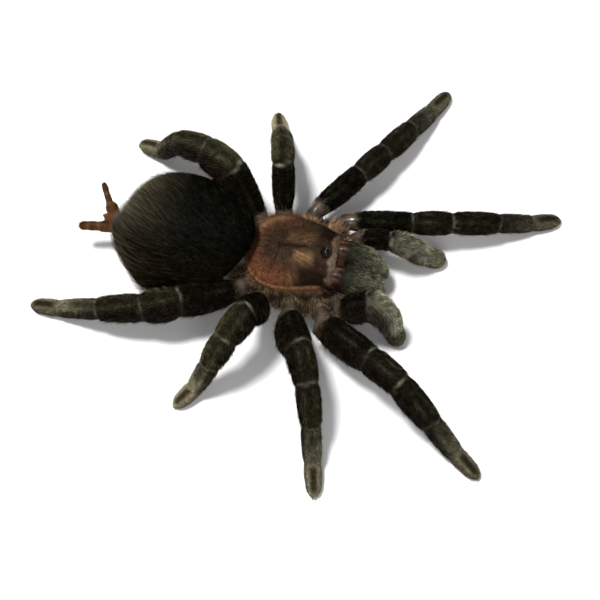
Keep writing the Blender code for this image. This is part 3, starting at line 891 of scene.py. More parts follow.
@dataclass
class Body:
    """The abdomen, the trunk, the jaws and the spinnerets."""

    origin: Array

    def plain(self, name: str, tube: Array, zone: Zone, skin: object, coat: object,
              **others: object) -> Form:
        """Makes a form whose hair lies along the rows of its points.

        Args:
            name: what the form is.
            tube: its rings of points.
            zone: stretch of the coat.
            skin: colour of its skin.
            coat: colour of its hair.
            others: further marks.

        Returns:
            The form.
        """
        rows, columns = tube.shape[:2]
        reach = np.linalg.norm(tube - tube.mean(axis=1, keepdims=True), axis=2)
        combed = np.stack(np.broadcast_arrays(np.arange(rows)[:, None] * STEP,
                                              round_turns(columns) * reach, 0.0), axis=-1)
        marks = {"skin_colour": paint(skin), "coat_colour": paint(coat), "combed": combed,
                 "coat_lie": unit(np.gradient(tube, axis=0) + 1e-9)}
        marks.update(others)
        return Form(name, tube + self.origin, zone, marks)

    def abdomen(self) -> Form:
        """Builds the egg with the lie of its long swept hair.

        Returns:
            The abdomen's form.
        """
        u = -np.cos(np.linspace(0.03, pi - 0.03, 112))[:, None]
        turn = round_turns(144)[None, :]
        left, over = np.sin(turn), np.cos(turn)
        half = 0.5 * ABDOMEN_SIZE - ABDOMEN_COAT
        swell = np.sqrt(1 - u * u)
        low_right = bell(left, -0.80, 0.50) * (1 - ease(-0.3, 0.6, over))
        low_right = low_right * (bell(u, -0.66, 0.34) + 0.85 * bell(u, 0.34, 0.30))
        x = half[0] * swell * (1 + 0.04 * u) * np.sign(left) * np.abs(left) ** 0.92 - 2.8 * MM * low_right
        z = half[2] * swell * (1 + 0.06 * u) * np.sign(over) * np.abs(over) ** 0.92
        y = half[1] * u - 0.75 * np.maximum(0.0, -u) ** 1.5 * z
        y = y - 1.7 * MM * ease(0.20, 1.0, u) * ease(-0.8, 0.7, left)
        points = np.stack((x, y, z - 1.2 * MM * u), axis=-1) + ABDOMEN_MIDDLE
        # Paler towards the rear and the upper left: partly the rear's paler hair, partly painted sheen.
        rear = ease(-0.25, 0.85, u) * (0.20 + 0.80 * ease(-0.55, 0.45, left + 0.35 * over))
        flank = 0.6 * (ease(0.45, 1.0, -left) * np.ones_like(u))
        swept = np.zeros_like(points)
        swept[..., 0] = 0.30 + 0.50 * ease(-0.6, 0.5, left + 0.2 * over)
        skin = lay_over(Paint.ABDOMEN_SKIN, (Paint.ABDOMEN_SKIN_REAR, rear),
                        (Paint.ABDOMEN_SKIN_FLANK, flank))
        coat = lay_over(Paint.ABDOMEN_HAIR, (Paint.ABDOMEN_HAIR_REAR, rear),
                        (Paint.ABDOMEN_HAIR_FLANK, flank))
        haze = ease(-0.2, 0.9, u) * (0.5 + 0.5 * ease(-0.9, 0.1, left + 0.3 * over))
        return self.plain("abdomen", points, Zone.ABDOMEN, skin, coat,
                          coat_lie=unit(unit(np.gradient(points, axis=0)) + swept),
                          short_length=1.15 * MM, long_length=(2.3 + 1.7 * ease(-0.6, 0.7, u)) * MM,
                          long_share=0.07 + 0.93 * haze, coat_stand=radians(3.5))

    def trunk(self) -> list[Form]:
        """Builds the core between the coxae, the waist and the bridge between the jaws.

        Returns:
            Their forms, from the core on.
        """
        turn = round_turns(96)
        heights = np.linspace(0, 1, 34)[:, None]
        round_off = np.sqrt(1 - 0.55 * np.maximum(0, 1 - heights / 0.2) ** 2)
        x = (2.6 + 5.0 * ease(0.2, 1.0, heights)) * MM * round_off * np.sin(turn)
        y = (5.2 + 3.5 * ease(0.2, 1.0, heights)) * MM * round_off * np.cos(turn)
        z = np.broadcast_to((3.8 + 6.6 * heights) * MM, x.shape)
        core = self.plain("core", np.stack((x, y, z), axis=-1), Zone.TRUNK, Paint.TRUNK_SKIN,
                          Paint.TRUNK_HAIR, short_length=0.9 * MM)
        spine = np.stack((np.zeros(36), np.linspace(4, 14, 36), np.full(36, 7.4)), axis=-1) * MM
        waist = self.plain("waist", sweep(spine, 1.2 * MM, 1.2 * MM, 32).points, Zone.TRUNK,
                           Paint.WAIST_SKIN, Paint.TRUNK_HAIR, short_length=0.5 * MM)
        spine = np.stack((np.zeros(24), np.linspace(-8.5, -12.0, 24), np.full(24, 11.4)), axis=-1) * MM
        bridge = self.plain("bridge", sweep(spine, 1.1 * MM, 1.5 * MM, 32).points, Zone.HEAD,
                            Paint.BRIDGE_SKIN, Paint.BRIDGE_HAIR, short_length=0.5 * MM)
        return [core, waist, bridge]

    def webs(self) -> list[Form]:
        """Builds the soft skin that closes the gaps between the coxae and behind the last.

        Returns:
            One form for each gap.
        """
        made = []
        sizes = (PALP_SIZE, *LEG_SIZES.values())
        t = np.linspace(0, 1, 40)
        radius = 1.75 * MM * nose(t, 0.75, 0.25)
        for side in (-1, 1):
            mirror = np.array((side, 1, 1)) * MM
            ends = [(0.5 * (np.array(one.root) + two.root), 0.5 * (np.array(one.hip) + two.hip), 0.86)
                    for one, two in zip(sizes, sizes[1:])]
            ends.append((np.array((3.0, 5.2, 6.8)), np.array((6.3, 11.6, 8.0)), 1.0))
            for k, (root, hip, reach) in enumerate(ends):
                spine = (root + (hip - root) * (reach * t)[:, None]) * mirror - UP * 0.6 * MM
                hair = Paint.REAR_WEB_HAIR if k == len(ends) - 1 else Paint.WEB_HAIR
                made.append(self.plain(f"web_{k}_{side}", sweep(spine, radius, radius, 36).points,
                                       Zone.HIP, Paint.WEB_SKIN, hair,
                                       short_length=1.1 * MM, long_length=2.2 * MM, long_share=1.0,
                                       coat_stand=radians(16)))
        return made

    def jaw(self, side: int) -> Form:
        """Builds one of the two stout jaws, with streaks at its base and combed felt.

        Args:
            side: 1 for the left jaw, -1 for the right one.

        Returns:
            The jaw's form.
        """
        rows, sides = 58, 72
        t = 1 - (1 - np.linspace(0, 1, rows)) ** 1.3
        width = JAW_WIDTH * parabola((0.93, 1.06, 0.88), t)
        width = width * np.sqrt(1 - 0.50 * np.maximum(0.0, t - 0.60) ** 2 / 0.2025)
        low = (8.0 - 6.2 * t + 2.6 * t ** 3) * MM
        high = (13.6 + 1.3 * t - 8.0 * t ** 2.6) * MM
        snub = nose(t, 0.88, 0.12)
        inward = 0.11 * MM
        spine = np.stack((side * (JAW_ASIDE - inward - 0.5 * MM * t * t),
                          JAW_BASE + 1.2 * MM - (JAW_LENGTH + 1.0 * MM) * t, 0.5 * (low + high)), axis=-1)
        level = spine.copy()
        level[:, 0], level[:, 2] = side * JAW_ASIDE, 8 * MM
        tube = sweep(level, (0.5 * width - JAW_COAT + inward) * snub,
                     (0.5 * (high - low) - JAW_COAT) * snub, sides)
        points = tube.points + (spine - level)[:, None]
        out = round_turns(sides) * side * (1 if tube.across[0, 0] > 0 else -1)
        out = np.broadcast_to(np.degrees(out), (rows, sides))
        along = np.broadcast_to(t[:, None], (rows, sides))
        pale = np.zeros_like(out)
        for angle, wide, strength, reach in JAW_STREAKS:
            line = bell(out, angle + 9 * side + 14 * along, wide)
            line = line * (1 - ease(reach - 0.20, reach - 0.08, along))
            pale = np.maximum(pale, strength * line)
        fleck = 0.05 * np.sin(np.radians(out * 7.0)) + 0.03 * np.sin(np.radians(out * 17.0 + 40))
        # Paler felt towards the tip and over the top: partly whitish hair, partly a painted highlight.
        combed = ease(0.15, 0.95, along) * (0.35 + 0.45 * bell(out, 20, 60))
        felt = lay_over(Paint.JAW_FELT, (Paint.JAW_PALE_FELT, combed),
                        (Paint.JAW_FLANK, 0.75 * ease(80, 130, out)))
        streaks = lay_over(Paint.JAW_HORN, (Paint.JAW_STREAK, pale))
        base = mix(paint(Paint.JAW_EDGE), streaks, ease(0.05, 0.10, along + fleck))
        fade = 1 - ease(0.14, 0.27, along + fleck)
        seam = bell(out, -75, 42) * ease(0.3, 0.5, along)
        return self.plain(f"jaw_{side}", points, Zone.HEAD, mix(0.5 * felt, 0.85 * base, fade),
                          mix(felt, base, fade), gloss=0.06 * fade,
                          short_length=(0.55 + 0.40 * ease(0.15, 0.6, along) + 0.8 * seam) * MM,
                          short_share=1 - 0.45 * fade, long_length=(1.6 + 0.6 * seam) * MM,
                          long_share=0.6 * ease(0.2, 0.5, along),
                          coat_stand=radians(14) + radians(10) * seam)

    def spinneret(self, side: int, splay: float, rise: float, last: float, waist: float) -> Form:
        """Builds one of the two long spinnerets, with three joints.

        Args:
            side: 1 for the left one, -1 for the right one.
            splay: how far it points aside, in degrees.
            rise: how far it points up, in degrees.
            last: length of its last joint, in mm.
            waist: how much it narrows after the first joint, in mm.

        Returns:
            The spinneret's form.
        """
        base = ABDOMEN_MIDDLE + np.array((side * 1.4 * MM, 15.6 * MM, -3.2 * MM))
        ways = [direction(side, splay - 90 + 5 * k, rise + 7 * k) for k in range(3)]
        knots = [base - ways[0] * 2.5 * MM, base]
        for way, length in zip(ways, (3.0, 2.4, last)):
            knots.append(knots[-1] + way * length * MM)
        knots = np.array(knots)
        marks = np.cumsum(np.linalg.norm(np.diff(knots, axis=0), axis=1))
        arc = np.linspace(0, marks[-1] - 0.1 * MM, 56)
        narrow = ease(marks[1] - 0.6 * MM, marks[1] + 0.6 * MM, arc)
        radius = MM * (1.22 + 0.3 * waist - waist * narrow - 0.012 * arc / MM)
        joint = np.zeros_like(arc)
        for mark in marks[:-1]:
            radius = radius * (1 - 0.12 * bell(arc, mark, 0.36 * MM))
            joint = np.maximum(joint, bell(arc, mark, 0.34 * MM))
        end = np.clip((arc - (arc[-1] - 1.3 * MM)) / (1.3 * MM), 0, 1)
        radius = radius * np.sqrt(np.maximum(1 - 0.96 * end ** 2, 0.01))
        spine = rounded_path(knots, arc, 0.5 * MM)
        sides = 36
        rows = np.ones((len(arc), sides))
        over = ease(-0.5, 0.7, np.cos(round_turns(sides)))[None, :] * rows
        tip = 0.7 * ease(0.80, 1.0, arc / arc[-1])[:, None] * rows
        tint = lay_over(Paint.SPINNERET_SIDE, (Paint.SPINNERET_TOP, over),
                        (Paint.SPINNERET_TIP, tip), (Paint.SPINNERET_JOINT, 0.35 * joint[:, None] * rows))
        return self.plain(f"spinneret_{side}", sweep(spine, radius, radius, sides).points, Zone.TRUNK,
                          tint, tint, short_length=0.6 * MM, coat_stand=radians(16))

    def short_spinnerets(self) -> Form:
        """Builds the small pair that lies between the long ones.

        Returns:
            Their one form.
        """
        base = ABDOMEN_MIDDLE + np.array((0.39 * MM, 14.7 * MM, -2.9 * MM))
        t = np.linspace(0, 1, 28)
        radius = 0.6 * MM * nose(t, 0.7, 0.3)
        tube = sweep(base + direction(1, -90, 20) * (t * 3.6 * MM)[:, None], radius, radius * 1.3, 28)
        return self.plain("short_spinnerets", tube.points, Zone.TRUNK, Paint.SHORT_SPINNERET,
                          Paint.SHORT_SPINNERET_HAIR, short_length=0.5 * MM)

    def forms(self) -> list[Form]:
        """Builds all the forms of the body."""
        return [self.abdomen(), *self.trunk(), *self.webs(), self.jaw(-1), self.jaw(1),
                self.spinneret(1, 52, 12, 2.8, 0.55), self.spinneret(-1, 8, 0, 2.0, 0.10),
                self.short_spinnerets()]


@dataclass
class Skin:
    """The one closed surface of all the flesh, with its markings."""

    forms: list[Form]

    def build(self) -> bpy.types.Object:
        """Joins the forms into one surface and carries their markings over.

        Returns:
            The skin's object.
        """
        raw = make_object("raw_skin", [form.points for form in self.forms])
        one = raw.modifiers.new("one_surface", "REMESH")
        one.mode = "VOXEL"
        one.voxel_size = VOXEL
        even = raw.modifiers.new("even", "SMOOTH")
        even.factor = 0.5
        even.iterations = 2
        mesh = plain_mesh(raw)
        bpy.data.objects.remove(raw)
        mesh.shade_smooth()
        place = np.zeros(len(mesh.vertices) * 3, np.float32)
        mesh.vertices.foreach_get("co", place)
        lay_marks(mesh, self.borrow(place.reshape(-1, 3)))
        mesh.name = "skin"
        return link("skin", mesh)

    def borrow(self, place: Array) -> dict[str, Array]:
        """Takes every mark from the three nearest points of the forms.

        Args:
            place: the skin's points.

        Returns:
            The values of each mark, under its name.
        """
        source = np.concatenate([form.points.reshape(-1, 3) for form in self.forms])
        tree = KDTree(len(source))
        for k, co in enumerate(source):
            tree.insert(co, k)
        tree.balance()
        found = [tree.find_n(co, 3) for co in place]
        close = np.array([[item[1] for item in three] for three in found])
        weight = 1.0 / (np.array([[item[2] for item in three] for three in found]) + 0.02 * MM)
        weight /= weight.sum(axis=1, keepdims=True)
        columns = {}
        for name in (*MARKS, "unwrap", "zone"):
            values = np.concatenate([form.column(name) for form in self.forms])
            if name in ("unwrap", "zone"):
                columns[name] = values[close[:, 0]]
            else:
                share = weight[..., None] if values.ndim == 2 else weight
                columns[name] = (values[close] * share).sum(axis=1)
        return columns


# ---------------- the carapace


@dataclass
class Carapace:
    """The hard shield over the front half, with its grooves, rim and markings."""

    origin: Array
    inset: float = 0.20 * MM
    pit: float = 2.1 * MM            # y of the middle pit
    around: int = 260
    rings: int = 60
    grooves: tuple[float, ...] = (28.0, 68.0, 102.0, 138.0)

    def half_width(self, v: Array) -> Array:
        """Half width of the shield, with v from -1 at the front to 1 behind."""
        rear = np.sqrt(np.maximum(0.0, 1 - np.maximum(0.0, v - 0.12) ** 2.4 / 0.88 ** 2.4))
        return 0.5 * CARAPACE_WIDTH * rear * (1 - 0.29 * np.maximum(0.0, 0.12 - v) ** 1.5 / 1.12 ** 1.5)

    def from_front(self, y: Array) -> Array:
        """How far places lie behind the front of the shield."""
        return y - CARAPACE_PLACE + 0.5 * CARAPACE_LENGTH

    def height(self, x: Array, y: Array) -> Array:
        """Height of the plain dome above the floor, before its relief.

        Args:
            x: distance of each place to the left.
            y: distance of each place to the rear.

        Returns:
            The height at each place.
        """
        v = np.clip(2 * (y - CARAPACE_PLACE) / CARAPACE_LENGTH, -1.0, 0.999)
        head = 1.0 - 0.22 * np.maximum(0.0, -0.55 - v) / 0.45
        fall = 1.0 - 0.35 * np.maximum(0.0, v + 0.3) - 0.55 * np.maximum(0.0, v - 0.15) ** 2
        crest = (CARAPACE_TOP - CARAPACE_FLOOR - CARAPACE_EDGE) * np.minimum(head, fall)
        across = np.minimum(1.0, np.abs(x) / np.maximum(self.half_width(v), 1e-6))
        front = np.clip(self.from_front(y) / (2.0 * MM), 0.0, 1.0)
        roll = np.sqrt(1 - (1 - front) ** 2)
        dome = np.sqrt(1 - across * across) ** 0.85
        return CARAPACE_FLOOR + CARAPACE_EDGE + crest * dome * (0.55 + 0.45 * roll)

    def outline(self) -> Array:
        """Closed line of the rim seen from above, evenly spaced, from the front round.

        Returns:
            The points of the line, x and y.
        """
        v = -1 + 1.985 * np.sin(np.linspace(0, 0.5 * pi, 120)) ** 1.1
        right = np.stack((self.half_width(v), CARAPACE_PLACE + 0.5 * CARAPACE_LENGTH * v), axis=-1)
        front = [[0.0, right[0, 1]]]
        line = np.concatenate((front, right, right[::-1] * (-1, 1), front))
        run = run_of(line)
        even = np.linspace(0, run[-1], self.around, endpoint=False)
        ring = np.stack((np.interp(even, run, line[:, 0]), np.interp(even, run, line[:, 1])), axis=-1)
        for _ in range(5):
            ring = 0.5 * ring + 0.25 * (np.roll(ring, 1, axis=0) + np.roll(ring, -1, axis=0))
        return ring

    def relief(self, x: Array, y: Array) -> tuple[Array, Array]:
        """Grooves of the shield, and the swelling of the head between them.

        Args:
            x: distance of each place to the left.
            y: distance of each place to the rear.

        Returns:
            The depth below the plain dome in metres, and the mask of the grooves.
        """
        far = np.hypot(x, y - self.pit) / MM
        bearing = np.degrees(np.arctan2(np.abs(x), self.pit - y))
        depth, mask = np.zeros_like(x), np.zeros_like(x)
        for k, groove in enumerate(self.grooves):
            bend = groove + 1.8 * far * (k == 0)
            off = np.sin(np.radians(np.clip(bearing - bend, -60, 60))) * far
            line = bell(off, 0.0, 0.24 + 0.05 * far) * ease(0.6, 2.2, far) * (1 - ease(6.2, 8.4, far))
            depth = depth + (0.14 if k == 0 else 0.07) * line
            mask = np.maximum(mask, (0.7 if k == 0 else 0.35) * line)
        slot = bell(x / MM, 0.0, 1.05) * bell((y - self.pit) / MM, 0.0, 0.30)
        head = (1 - ease(-5, 3, bearing - self.grooves[0] - 1.8 * far)) * ease(1.2, 4.0, far)
        return (depth + 0.55 * slot - 0.20 * head) * MM, np.clip(mask + slot, 0, 1)

    def colours(self, x: Array, y: Array, edge: Array, groove: Array) -> tuple[Array, Array]:
        """Colours of the shield and of its down at places seen from above.

        Args:
            x: distance of each place to the left.
            y: distance of each place to the rear.
            edge: how far out each place lies, from 0 at the pit to 1 at the rim.
            groove: mask of the grooves.

        Returns:
            The colour of the shell and the colour of the down on it.
        """
        ahead, aside, left = (self.pit - y) / MM, np.abs(x) / MM, x / MM
        to_front = self.from_front(y) / MM
        bearing = np.arctan2(x, self.pit - y)
        ray = 0.3 * np.sin(23 * bearing + 0.5 * ahead) + 0.2 * np.sin(41 * bearing + 1.3)
        ray = 0.5 + ray * ease(1.5, 6.0, np.hypot(aside, ahead))
        copper = ease(0.30, 0.85, edge) * (1 - ease(-1.0, 8.0, ahead)) * (1 - 0.4 * ease(-2.0, 2.0, left))
        gold = bell(left, -2.2, 1.3) * ease(2.6, 4.2, ahead) * (1 - ease(6.6, 8.6, ahead))
        gold = gold + 0.40 * bell(left, 2.2, 1.5) * ease(0.5, 2.5, ahead) * (1 - ease(6.0, 8.4, ahead))
        gold = gold + 0.35 * bell(left, -7.2, 1.2) * bell(ahead, 3.4, 2.6) * ray
        corner = ease(1.0, 2.6, left) * ease(7.2, 9.2, ahead)
        corner = corner + ease(3.8, 5.0, -left) * ease(4.2, 6.2, ahead) * (1 - 0.5 * gold)
        midline = bell(left + 0.1 * np.sin(2 * ahead), 0.0, 0.42) * ease(0.0, 1.0, ahead)
        midline = midline * (1 - ease(5.0, 7.4, ahead))
        brow = ease(7.6, 9.0, ahead) * (1 - ease(2.0, 4.0, aside))
        ragged = 0.25 * np.sin(1.3 * left + 0.6) + 0.10 * np.sin(3.9 * left)
        lip = (1 - ease(1.2, 2.0, to_front + ragged)) * (1 - ease(5.2, 6.4, aside))
        rim = ease(0.955, 0.99, edge) * ease(1.5, 4.0, to_front)
        tan = ease(0.62, 0.92, edge) * ease(2.0, 5.5, left) * (1 - ease(-1.5, 2.5, ahead))
        right_rim = ease(0.950, 0.972, edge) * ease(0.0, 3.0, -left) * ease(1.5, 4.0, to_front)
        shell = lay_over(
            Paint.SHELL, (Paint.SHELL_COPPER, copper),
            (Paint.SHELL_GOLD, 0.75 * gold * (0.6 + 0.4 * ray)), (Paint.SHELL_GROOVE, 0.30 * groove),
            (Paint.SHELL_CORNER, 0.92 * corner), (Paint.SHELL_MIDLINE, 0.9 * midline),
            (Paint.SHELL_PIT, 0.8 * bell(np.hypot(aside, 0.8 * ahead), 0.0, 0.8)),
            (Paint.SHELL_BROW, 0.7 * brow),
            (lay_over(Paint.LIP, (Paint.PALE_LIP, bell(left, -1.5, 2.0))), 0.85 * lip),
            (Paint.SHELL_TAN, np.maximum(0.5 * rim, 0.7 * tan)), (Paint.SHELL_RIM, 0.8 * right_rim))
        shell = shell * (0.92 + 0.16 * ray)[..., None]
        golden = 0.28 * np.clip(gold, 0, 1) + 0.15 * rim + 0.2 * tan
        return shell, lay_over(shell * 1.1, (Paint.SHELL_DOWN, golden))

    def build(self) -> bpy.types.Object:
        """Builds the shield as a closed plate, with what grows on it.

        Returns:
            The shield's object.
        """
        rim = self.outline() * (1 - self.inset / (0.5 * CARAPACE_WIDTH))
        centre = np.array((0.0, self.pit))
        share = np.linspace(0.012, 1.0, self.rings) ** 0.92
        flat = centre + share[:, None, None] * (rim - centre)[None]
        x, y = flat[..., 0], flat[..., 1]
        edge = np.broadcast_to(share[:, None], x.shape)
        depth, groove = self.relief(x, y)
        z = self.height(x, y) - self.inset - depth * (1 - ease(0.90, 1.0, edge))
        rows = [np.stack((x, y, z), axis=-1)]
        low = CARAPACE_FLOOR + 0.15 * MM
        for scale, level in ((1.006, 0.5), (0.995, 0.1), (0.96, 0.0), (0.5, 0.0), (0.03, 0.0)):
            ring = centre + scale * (rim - centre)
            tall = low + level * (CARAPACE_EDGE - 0.15 * MM)
            rows.append(np.concatenate((ring, np.full((self.around, 1), tall)), axis=1)[None])
        grid = np.concatenate(rows)
        made = make_object("carapace_shell", [grid + self.origin])
        shell, down = self.colours(x, y, edge, groove)
        below = (len(rows) - 1, self.around)
        hide = np.broadcast_to(paint(Paint.SHELL_BELOW), below + (3,))
        disc = np.concatenate((share, np.linspace(1.0, 0.98, below[0])))[:, None]
        bearing = np.linspace(0, 2 * pi, self.around, endpoint=False)
        start = 0.975 - 0.09 * ease(-1 * MM, 5 * MM, x)
        above = {
            "coat_stand": ease(0.94, 0.99, edge) * (x < 0),
            "short_length": 0.62 - 0.2 * bell(edge, 0.0, 0.2),
            "short_share": np.ones(x.shape),
            "long_length": 1.1 + 0.9 * ease(0.90, 0.97, edge),
            "long_share": ease(start, 0.995, edge) ** 2 * ease(0.8, 2.6, self.from_front(y) / MM),
        }
        marks = {name: np.concatenate((values, np.zeros(below))) for name, values in above.items()}
        marks["coat_stand"] = radians(10) + radians(12) * marks["coat_stand"]
        marks["short_length"] *= MM
        marks["long_length"] *= MM
        lie = unit(np.gradient(rows[0], axis=0))
        marks.update({
            "skin_colour": np.concatenate((shell, hide)), "coat_colour": np.concatenate((down, hide)),
            "coat_lie": np.concatenate((lie, np.zeros(below + (3,)) - UP)),
            "combed": np.stack(np.broadcast_arrays(disc * 9 * MM, bearing * 5 * MM, 0.0), axis=-1)})
        form = Form("shell", grid, Zone.SHELL, marks)
        lay_marks(made.data, {name: form.column(name) for name in (*MARKS, "zone")})
        chart = 0.5 + 0.49 * np.stack((disc * np.sin(bearing), -disc * np.cos(bearing)), axis=-1)
        lay_marks(made.data, {"unwrap": chart.reshape(-1, 2)})
        return made


# The eyes of one side: shares of the mound aside and ahead, then length and width in mm.
EYES = ((0.34, 0.05, 0.33, 0.33), (0.72, 0.50, 0.34, 0.26), (0.84, -0.22, 0.32, 0.24),
        (0.52, -0.48, 0.20, 0.14))


@dataclass
class Head:
    """The eye mound with its eight eyes, and the two fangs."""

    origin: Array
    top: float                       # height of the shield under the mound
    place: float = -7.9 * MM
    radii: tuple[float, float, float] = (1.28 * MM, 1.20 * MM, 1.14 * MM)

    @property
    def centre(self) -> Array:
        """Middle of the mound."""
        return self.origin + np.array((0.0, self.place, self.top - 0.15 * MM))

    def mound(self) -> bpy.types.Object:
        """Builds the round hill that bears the eyes."""
        return make_object("eye_mound_hill", [ball(self.centre, self.radii, FORWARD, 40).points])

    def eyes(self) -> bpy.types.Object:
        """Builds the eight eyes: two round ones above, six ovals round the sides.

        Returns:
            The object of all the eyes.
        """
        grids = []
        for side in (-1, 1):
            for aside, ahead, long, wide in EYES:
                up = sqrt(1 - aside ** 2 - ahead ** 2)
                spot = self.centre + np.array((side * aside, -ahead, up)) * self.radii * 0.82
                way = unit(np.array((side * aside, -ahead - 0.3, 0.0)))
                grids.append(ball(spot, (wide * MM, long * MM, wide * MM), way).points)
        return make_object("eyes", grids)

    def fangs(self) -> bpy.types.Object:
        """Builds both fangs, folded back under the jaws.

        Returns:
            The object of both fangs.
        """
        t = np.linspace(0, 1, 22)
        swing = np.radians(-20 + 105 * t)
        drop = 0.28 * FANG_LENGTH * np.cos(swing) ** 2 * (1 - 0.5 * t)
        radius = 0.72 * MM * (1 - 0.9 * t ** 1.3)
        grids = []
        for side in (-1, 1):
            spine = np.stack((side * (2.5 - 0.7 * t) * MM,
                              JAW_BASE - 0.74 * JAW_LENGTH + 0.62 * FANG_LENGTH * np.sin(swing),
                              (3.5 + 0.1 * t) * MM - drop), axis=-1)
            grids.append(sweep(spine + self.origin, radius, radius, 18).points)
        return make_object("fangs", grids)


# ---------------- the finishes


GLINT_COLOUR = (0.62, 0.56, 0.42)


def socket(sockets: bpy.types.bpy_prop_collection, name: str) -> Socket:
    """Finds the live socket of a name on a node with sockets for several types."""
    return next(s for s in sockets if s.name == name and s.enabled)


@dataclass
class Graph:
    """A node tree under construction."""

    tree: bpy.types.NodeTree

    def add(self, kind: str, feeds: dict[str, object] | None = None, **settings: object) -> bpy.types.Node:
        """Adds a node, sets its properties and then feeds its inputs.

        Args:
            kind: type of the node.
            feeds: a value or a socket for each named input.
            settings: a value for each property.

        Returns:
            The node.
        """
        node = self.tree.nodes.new(kind)
        for key, value in settings.items():
            setattr(node, key, value)
        self.fill(node, feeds or {})
        return node

    def fill(self, node: bpy.types.Node, feeds: dict[str, object]) -> None:
        """Feeds each named input of a node with a value or a socket."""
        for name, value in feeds.items():
            self.feed(socket(node.inputs, name), value)

    def feed(self, target: Socket, value: object) -> None:
        """Links a socket to a target, or sets the target's value.

        Args:
            target: the input.
            value: a socket, or the input's fixed value.
        """
        if isinstance(value, Socket):
            self.tree.links.new(value, target)
        else:
            target.default_value = value

    def math(self, operation: str, a: object, b: object = 0.0) -> Socket:
        """Adds a sum of two numbers or sockets.

        Args:
            operation: name of the sum.
            a: first number or socket.
            b: second number or socket.

        Returns:
            The socket with the result.
        """
        node = self.add("ShaderNodeMath", operation=operation)
        self.feed(node.inputs[0], a)
        self.feed(node.inputs[1], b)
        return node.outputs[0]

    def times(self, a: object, b: object) -> Socket:
        """Multiplies two numbers or sockets."""
        return self.math("MULTIPLY", a, b)

    def plus(self, a: object, b: object) -> Socket:
        """Adds two numbers or sockets."""
        return self.math("ADD", a, b)

    def around(self, value: object, weight: object) -> Socket:
        """Weighs how far a value lies from one half."""
        return self.times(self.math("SUBTRACT", value, 0.5), weight)

    def vector(self, operation: str, a: object, b: object) -> Socket:
        """Adds a sum of vectors.

        Args:
            operation: name of the sum.
            a: first vector or socket.
            b: second vector or socket, or a number when a vector is scaled.

        Returns:
            The socket with the result.
        """
        node = self.add("ShaderNodeVectorMath", operation=operation)
        self.feed(node.inputs[0], a)
        self.feed(node.inputs["Scale"] if operation == "SCALE" else node.inputs[1], b)
        return node.outputs["Vector"]

    def noise(self, place: object, scale: object, detail: float = 3.0) -> Socket:
        """Adds cloudy noise and returns its value."""
        return self.add("ShaderNodeTexNoise", {"Vector": place, "Scale": scale, "Detail": detail}).outputs[0]

    def mark(self, name: str, output: str = "Color") -> Socket:
        """Reads a mark of the surface in a material."""
        return self.add("ShaderNodeAttribute", attribute_name=name).outputs[output]

    def own_place(self) -> Socket:
        """Reads the place on the model in a material."""
        return self.add("ShaderNodeTexCoord").outputs["Object"]


def new_group(name: str, inputs: dict[str, float],
              outputs: dict[str, str]) -> tuple[Graph, dict[str, Socket], bpy.types.Node]:
    """Starts a shader node group with a colour and named numbers as inputs.

    Args:
        name: name of the group.
        inputs: each number with its usual value.
        outputs: each output with its type of socket.

    Returns:
        The group's tree, the sockets of its inputs and the node of its outputs.
    """
    tree = bpy.data.node_groups.new(name, "ShaderNodeTree")
    tree.interface.new_socket("Colour", in_out="INPUT", socket_type="NodeSocketColor")
    for label, value in inputs.items():
        item = tree.interface.new_socket(label, in_out="INPUT", socket_type="NodeSocketFloat")
        item.default_value = value
    for label, kind in outputs.items():
        tree.interface.new_socket(label, in_out="OUTPUT", socket_type=kind)
    graph = Graph(tree)
    return graph, graph.add("NodeGroupInput").outputs, graph.add("NodeGroupOutput")


def combed_grain() -> bpy.types.NodeTree:
    """Node group: fine streaks along the lie of the hair, with a slow mottle.

    Returns:
        The group's tree, built at the first call.
    """
    known = bpy.data.node_groups.get("combed_grain")
    if known:
        return known
    graph, given, out = new_group(
        "combed_grain", {"Streak": 7000.0, "Length": 900.0, "Depth": 0.5, "Mottle": 0.3, "Gloss": 0.0},
        {"Colour": "NodeSocketColor", "Height": "NodeSocketFloat", "Roughness": "NodeSocketFloat"})
    scale = graph.add("ShaderNodeCombineXYZ", {"X": given["Length"], "Y": given["Streak"]})
    streak = graph.noise(graph.vector("MULTIPLY", graph.mark("combed", "Vector"), scale.outputs[0]), 1.0)
    cloud = graph.noise(graph.own_place(), 420.0, 4.0)
    swing = graph.plus(graph.around(streak, given["Depth"]), graph.around(cloud, given["Mottle"]))
    level = graph.plus(graph.times(swing, 3.0), 1.0)
    level = graph.math("MAXIMUM", level, 0.15)
    rough = graph.plus(graph.times(cloud, 0.25), 0.5)
    dull = graph.math("SUBTRACT", 1.0, graph.times(given["Gloss"], 0.75))
    graph.fill(out, {"Colour": graph.vector("SCALE", given["Colour"], level), "Height": streak,
                     "Roughness": graph.times(rough, dull)})
    return graph.tree


